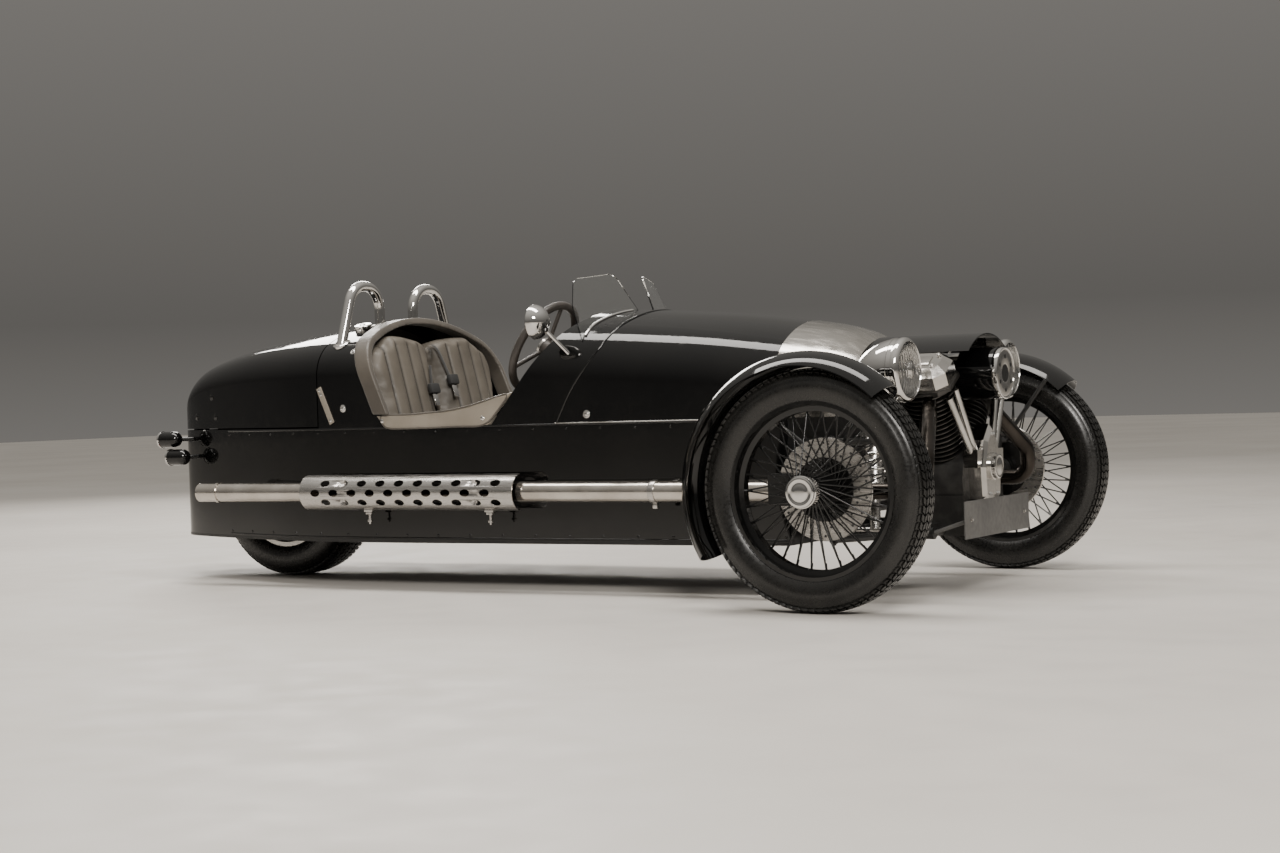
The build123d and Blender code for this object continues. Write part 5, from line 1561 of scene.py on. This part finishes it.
    def hoop_feet(self) -> None:
        """The round flanges under the legs of the hoops."""
        places = []
        for side in (-1.0, 1.0):
            for y in self.hoop_legs:
                place, normal = touch([self.nodes["rear_deck"], self.nodes["tail_lid"]],
                                      Vector((self.hoop_x, side * y, ABOVE)), DOWN)
                places.append(facing(place, normal))
        steps = [(-0.004, 0.031), (0.003, 0.031), (0.0045, 0.029), (0.0055, 0.0225), (0.0085, 0.0215), (0.0085, 0.0175),
                 (-0.004, 0.0175)]
        dress(repeated(turned("foot", steps, sides=32, ring=True), "hoop_feet", places), CHROME_TRIM)

    def make(self) -> None:
        """Builds the body's trim."""
        self.rivets()
        self.mouldings()
        self.quarter_turns()
        self.seam()
        self.straps()
        self.filler()
        self.hoop_feet()


@dataclass
class Cockpit:
    """The dials, the screen strips and the steering wheel's boss."""

    nodes: dict[str, bpy.types.Object]
    dial_places: tuple[tuple[float, float, float], ...] = ((0.0, 0.790, 0.046), (0.105, 0.790, 0.030),
                                                           (-0.105, 0.790, 0.030), (0.190, 0.770, 0.024))
    boss_place: tuple[float, float, float] = (0.076, -0.196, 0.782)
    boss_tilt_deg: float = 29.5
    mark_count: int = 11
    mark_start_deg: float = -135.0
    mark_step_deg: float = 27.0
    needle_turn: float = 0.7

    def dial(self, name: str, y: float, z: float, radius: float) -> None:
        """One dial with its bezel, face, marks and needle.

        Args:
            name: its name.
            y: its place across.
            z: its height.
            radius: its radius.
        """
        place, _ = touch([self.nodes["dashboard"]], Vector((-0.2, y, z)), FORWARD)
        placing = facing(place, BACKWARD)
        bezel = [(-0.001, radius - 0.004), (-0.001, radius + 0.003), (0.006, radius + 0.003), (0.009, radius),
                 (0.009, radius - 0.004)]
        dress(turned(f"{name}_bezel", bezel, placing, 48, ring=True), CHROME_TRIM)
        face = [(0.0, radius - 0.003), (0.003, radius - 0.003), (0.0034, radius - 0.006), (0.0034, 0.002)]
        dress(turned(f"{name}_face", face, placing, 48), Slot(DIAL_FACE, "car", "black_plastic"))
        marks = []
        for index in range(self.mark_count):
            angle = math.radians(self.mark_start_deg + self.mark_step_deg * index)
            out = Matrix.Rotation(angle, 4, "Z") @ Matrix.Translation((0, radius * 0.78, 0.0042))
            marks.append(placing @ out)
        mark = slab("mark", (0.0016, radius * 0.16, 0.0008), Matrix(), 0.0002)
        turn = Matrix.Rotation(self.needle_turn, 4, "Z") @ Matrix.Translation((0, radius * 0.24, 0.0052))
        needle = slab("needle", (0.0014, radius * 0.66, 0.0010), placing @ turn, 0.0002)
        dress(joined(f"{name}_marks", [repeated(mark, "marks", marks), needle]), Slot(PALE_MARK, "car", "chrome"))

    def screen_mounts(self) -> None:
        """The bright strips along the foot of the screens."""
        deck, pane = [self.nodes[name] for name in ("scuttle", "bonnet_band", "bonnet")], self.nodes["aero_screens"]
        lines = []
        for side in (-1.0, 1.0):
            points = []
            for index in range(9):
                y = side * (0.300 - 0.222 * index / 8)
                foot, _ = touch(deck, Vector((0.303 + 0.084 * index / 8, y, 1.3)), DOWN)
                hit, spot, _, _ = pane.ray_cast(Vector((0.60, y, foot.z + 0.004)), BACKWARD)
                if hit:
                    points.append(Vector((spot.x + 0.003, y, foot.z + 0.004)))
            lines.append(tube("strip", points, 0.0048))
        dress(joined("screen_strips", lines), CHROME_TRIM, 60.0)

    def wheel_boss(self) -> None:
        """The boss of the steering wheel."""
        tilt = math.radians(self.boss_tilt_deg)
        axis = Vector((-math.cos(tilt), 0, math.sin(tilt)))
        steps = [(-0.004, 0.033), (0.004, 0.033), (0.008, 0.028), (0.012, 0.018), (0.0135, 0.006)]
        boss = turned("wheel_boss", steps, facing(Vector(self.boss_place), axis), 40)
        dress(boss, Slot(POLISHED, "hand_wheel", "polished"))

    def make(self) -> None:
        """Builds the cockpit's trim."""
        for index, (y, z, radius) in enumerate(self.dial_places):
            self.dial(f"dial_{index + 1}", y, z, radius)
        self.screen_mounts()
        self.wheel_boss()


@dataclass
class Shields:
    """The heat shields over the pipes, with their rows of long holes."""

    node: bpy.types.Object
    pipe_y: float = 0.420
    pipe_z: float = 0.320
    first_x: float = -0.690
    pitch: float = 0.0764
    holes: int = 10
    rows: tuple[tuple[float, float], ...] = ((-32.0, 0.75), (0.0, 0.25), (32.0, 0.75))
    hole_half: tuple[float, float] = (0.0190, 0.0120)
    radius: float = 0.060

    def cutter_places(self) -> list[Matrix]:
        """Where the holes go through the shields.

        Returns:
            A placing for each hole, its Z along the way out.
        """
        places = []
        for side in (-1.0, 1.0):
            for angle, shift in self.rows:
                out = Vector((0, side * math.cos(math.radians(angle)), math.sin(math.radians(angle))))
                along = FORWARD
                turn = Matrix((along, out.cross(along), out)).transposed().to_4x4()
                for index in range(self.holes):
                    place = Vector((self.first_x + self.pitch * (index + shift), side * self.pipe_y, self.pipe_z))
                    places.append(Matrix.Translation(place + out * self.radius) @ turn)
        return places

    def make(self) -> None:
        """Cuts the long holes into a copy of the shields."""
        piece = copy_of(self.node, "heat_shields_cut")
        clear_selection()
        bpy.ops.mesh.primitive_cylinder_add(vertices=28, radius=self.hole_half[1], depth=0.026)
        cutter = bpy.context.object
        with editing(cutter):
            bpy.ops.mesh.select_all(action="SELECT")
            bpy.ops.transform.resize(value=(self.hole_half[0] / self.hole_half[1], 1.0, 1.0))
        cutters = repeated(cutter, "shield_cutters", self.cutter_places())
        apply_modifier(piece, "BOOLEAN", operation="DIFFERENCE", object=cutters, solver="EXACT")
        bpy.data.objects.remove(cutters)
        dress(piece, STEEL_TRIM, 40.0)
        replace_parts(piece, "heat_shields")


@dataclass
class Machinery:
    """Bolts, rings, springs and clamps on the engine, the axle and the exhausts."""

    lean_deg: float = 31.0
    crank: Vector = field(default_factory=lambda: Vector((1.408, 0.0, 0.330)))
    cover_top: float = 0.422
    case_face: float = 1.544
    coil_foot: Vector = field(default_factory=lambda: Vector((1.312, 0.352, 0.204)))
    coil_head: Vector = field(default_factory=lambda: Vector((1.278, 0.268, 0.520)))
    coil_turns: int = 8
    pipe_y: float = 0.420
    pipe_z: float = 0.320
    case_z: float = 0.372
    case_bolts: tuple[tuple[float, float], ...] = ((-0.030, 0.292), (0.030, 0.292), (0.0, 0.470))
    rocker_bolt: tuple[float, float] = (0.050, 0.030)
    cleaner_z: float = 0.650
    vent_reach: float = 0.050
    vents: int = 6
    coil_radius: float = 0.0315
    coil_wire: float = 0.0052
    coil_points: int = 12
    coil_span: tuple[float, float] = (0.31, 0.56)
    coil_seats: tuple[float, float] = (0.285, 0.87)
    clamp_places: tuple[float, ...] = (0.612,)
    hanger_y: float = 0.436
    plate_bolt: tuple[float, float] = (0.215, 0.225)
    hanger_places: tuple[float, ...] = (-0.475, 0.010)

    def bolt(self, radius: float = 0.0062) -> bpy.types.Object:
        """A hexagon bolt head on its washer.

        Args:
            radius: the head's radius.

        Returns:
            The object at the origin, its head upwards.
        """
        washer = turned("washer", [(0.0, radius * 1.35), (0.0012, radius * 1.35), (0.0015, radius)], sides=16)
        steps = [(0.0012, radius), (0.0055, radius), (0.0066, radius * 0.8), (0.0067, radius * 0.2)]
        head = turned("head", steps, sides=6)
        return joined("bolt", [washer, head])

    def cylinder_placing(self, side: float) -> Matrix:
        """The frame of one cylinder, its Z along the bore."""
        lean = math.radians(self.lean_deg)
        axis = Vector((0, side * math.sin(lean), math.cos(lean)))
        along = FORWARD
        turn = Matrix((along, axis.cross(along), axis)).transposed().to_4x4()
        return Matrix.Translation(self.crank) @ turn

    def cover_bolts(self) -> None:
        """The bolts on the rocker covers and a raised panel on each."""
        places, panels = [], []
        for side in (-1.0, 1.0):
            frame = self.cylinder_placing(side)
            for x in (-self.rocker_bolt[0], self.rocker_bolt[0]):
                for y in (-self.rocker_bolt[1], self.rocker_bolt[1]):
                    places.append(frame @ Matrix.Translation((x, y, self.cover_top)))
            middle = frame @ Matrix.Translation((0, 0, self.cover_top + 0.001))
            panels.append(slab("panel", (0.070, 0.046, 0.004), middle, 0.0015))
        dress(repeated(self.bolt(), "rocker_bolts", places), STEEL_TRIM)
        dress(joined("rocker_panels", panels), POLISHED_TRIM)

    def case_trim(self) -> None:
        """The stepped boss and the bolts on the timing case."""
        placing = facing(Vector((self.case_face, 0, self.case_z)), FORWARD)
        steps = [(0.0, 0.041), (0.006, 0.041), (0.008, 0.038), (0.0185, 0.037), (0.0205, 0.033), (0.0195, 0.028),
                 (0.0205, 0.022), (0.0225, 0.012), (0.0228, 0.003)]
        dress(turned("case_boss", steps, placing, 48), POLISHED_TRIM)
        places = [facing(Vector((self.case_face - 0.0005, y, z)), FORWARD) for y, z in self.case_bolts]
        dress(repeated(self.bolt(0.0042), "case_bolts", places), Slot(CAST_ALLOY, "car", "steel"))

    def springs(self) -> None:
        """The coil springs over the dampers, with their seats."""
        for word, side in SIDES:
            foot = Vector((self.coil_foot.x, side * self.coil_foot.y, self.coil_foot.z))
            head = Vector((self.coil_head.x, side * self.coil_head.y, self.coil_head.z))
            along = head - foot
            placing = facing(foot, along)
            length = along.length
            points = []
            count, r = self.coil_turns * self.coil_points, self.coil_radius
            for step in range(count + 1):
                turn = math.tau * step / self.coil_points
                height = length * (self.coil_span[0] + self.coil_span[1] * step / count)
                points.append(placing @ Vector((r * math.cos(turn), r * math.sin(turn), height)))
            dress(tube(f"spring_{word}", points, self.coil_wire), CHROME_TRIM, 60.0)
            seats = []
            for low in self.coil_seats:
                z = length * low
                steps = [(z, 0.014), (z, 0.038), (z + 0.006, 0.040), (z + 0.009, 0.036), (z + 0.009, 0.014)]
                seats.append(turned("seat_ring", steps, placing, 36, ring=True))
            dress(joined(f"spring_rings_{word}", seats), Slot(CAST_ALLOY, "car", "cast_alloy"))

    def cleaner_front(self) -> None:
        """The bright ring and the disc of the air cleaner, with near-black discs of painted shade in its mouth and its
        vents.
        """
        _, high = corners("air_cleaner")
        placing = facing(Vector((high.x, 0, self.cleaner_z)), FORWARD)
        ring = [(-0.012, 0.0765), (-0.003, 0.0785), (0.003, 0.0775), (0.0045, 0.0745), (0.003, 0.0705), (-0.004, 0.069),
                (-0.012, 0.069)]
        dress(turned("cleaner_ring", ring, placing, 64, ring=True), CHROME_TRIM)
        disc = [(-0.004, 0.0695), (0.0016, 0.0695), (0.0024, 0.067), (0.0024, 0.030), (0.0012, 0.027), (-0.004, 0.027)]
        dress(turned("cleaner_disc", disc, placing, 64, ring=True), Slot(POLISHED, "car", "cast_alloy"))
        # The mouth and the vents are flat near-black discs: painted shade where the openings are.
        mouth = [(-0.004, 0.0275), (0.0004, 0.0275), (0.0006, 0.012), (0.0007, 0.003)]
        dress(turned("cleaner_mouth_shade", mouth, placing, 48), SHADE_TRIM)
        reach, angles = self.vent_reach, [math.tau * (k + 0.5) / self.vents for k in range(self.vents)]
        places = [facing(Vector((high.x + 0.0018, reach * math.cos(a), self.cleaner_z + reach * math.sin(a))), FORWARD)
                  for a in angles]
        hole = turned("vent", [(0.0, 0.0062), (0.0010, 0.0062), (0.0011, 0.002)], sides=20)
        dress(repeated(hole, "cleaner_vent_shades", places), SHADE_TRIM)

    def clamps(self) -> None:
        """The clamps round the side pipes."""
        clamps = []
        for side in (-1.0, 1.0):
            for x in self.clamp_places:
                placing = facing(Vector((x, side * self.pipe_y, self.pipe_z)), FORWARD)
                steps = [(-0.010, 0.0325), (-0.010, 0.0350), (-0.007, 0.0362), (0.007, 0.0362), (0.010, 0.0350),
                         (0.010, 0.0325)]
                clamps.append(turned("clamp", steps, placing, 40, ring=True))
                ear = Matrix.Translation((x, side * self.pipe_y, self.pipe_z - 0.043))
                clamps.append(slab("ear", (0.016, 0.009, 0.018), ear, 0.0015))
        dress(joined("pipe_clamps", clamps), STEEL_TRIM)

    def hangers(self) -> None:
        """The clamps and studs that hang the heat shields."""
        parts = []
        for side in (-1.0, 1.0):
            for x in self.hanger_places:
                place = Vector((x, side * self.hanger_y, 0.0))
                for name, size, z, edge in (("hanger", (0.034, 0.022, 0.012), 0.262, 0.002),
                                            ("hanger_plate", (0.024, 0.016, 0.010), 0.253, 0.0015)):
                    parts.append(slab(name, size, Matrix.Translation(place + UP * z), edge))
                stud = [(0.0, 0.0045), (0.020, 0.0045), (0.0205, 0.0085), (0.027, 0.0085), (0.0275, 0.0040),
                        (0.034, 0.0035)]
                parts.append(turned("stud", stud, facing(place + UP * 0.250, DOWN), 12))
        dress(joined("shield_hangers", parts), STEEL_TRIM)

    def plate_bolts(self) -> None:
        """The bolts of the front plate."""
        _, high = corners("front_plate")
        reach, z = self.plate_bolt
        places = [facing(Vector((high.x - 0.0002, y, z)), FORWARD) for y in (-reach, reach)]
        dress(repeated(self.bolt(0.005), "plate_bolts", places), STEEL_TRIM)

    def make(self) -> None:
        """Builds the trim of the engine, the springs and the pipes."""
        self.cover_bolts()
        self.case_trim()
        self.springs()
        self.cleaner_front()
        self.clamps()
        self.hangers()
        self.plate_bolts()


def main() -> None:
    """Builds every sub-assembly in order."""
    logging.basicConfig(level=logging.INFO, format="%(message)s")
    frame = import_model()
    Viewpoint().make()
    Studio().make()
    nodes = frame["nodes"]
    FrameDresser(nodes).dress()
    Wheels().make()
    Lamps().make()
    Harness(Leather(nodes).make()).make()
    BodyTrim(nodes).make()
    Cockpit(nodes).make()
    Machinery().make()
    Shields(nodes["heat_shields"]).make()


if __name__ == "__main__":
    main()
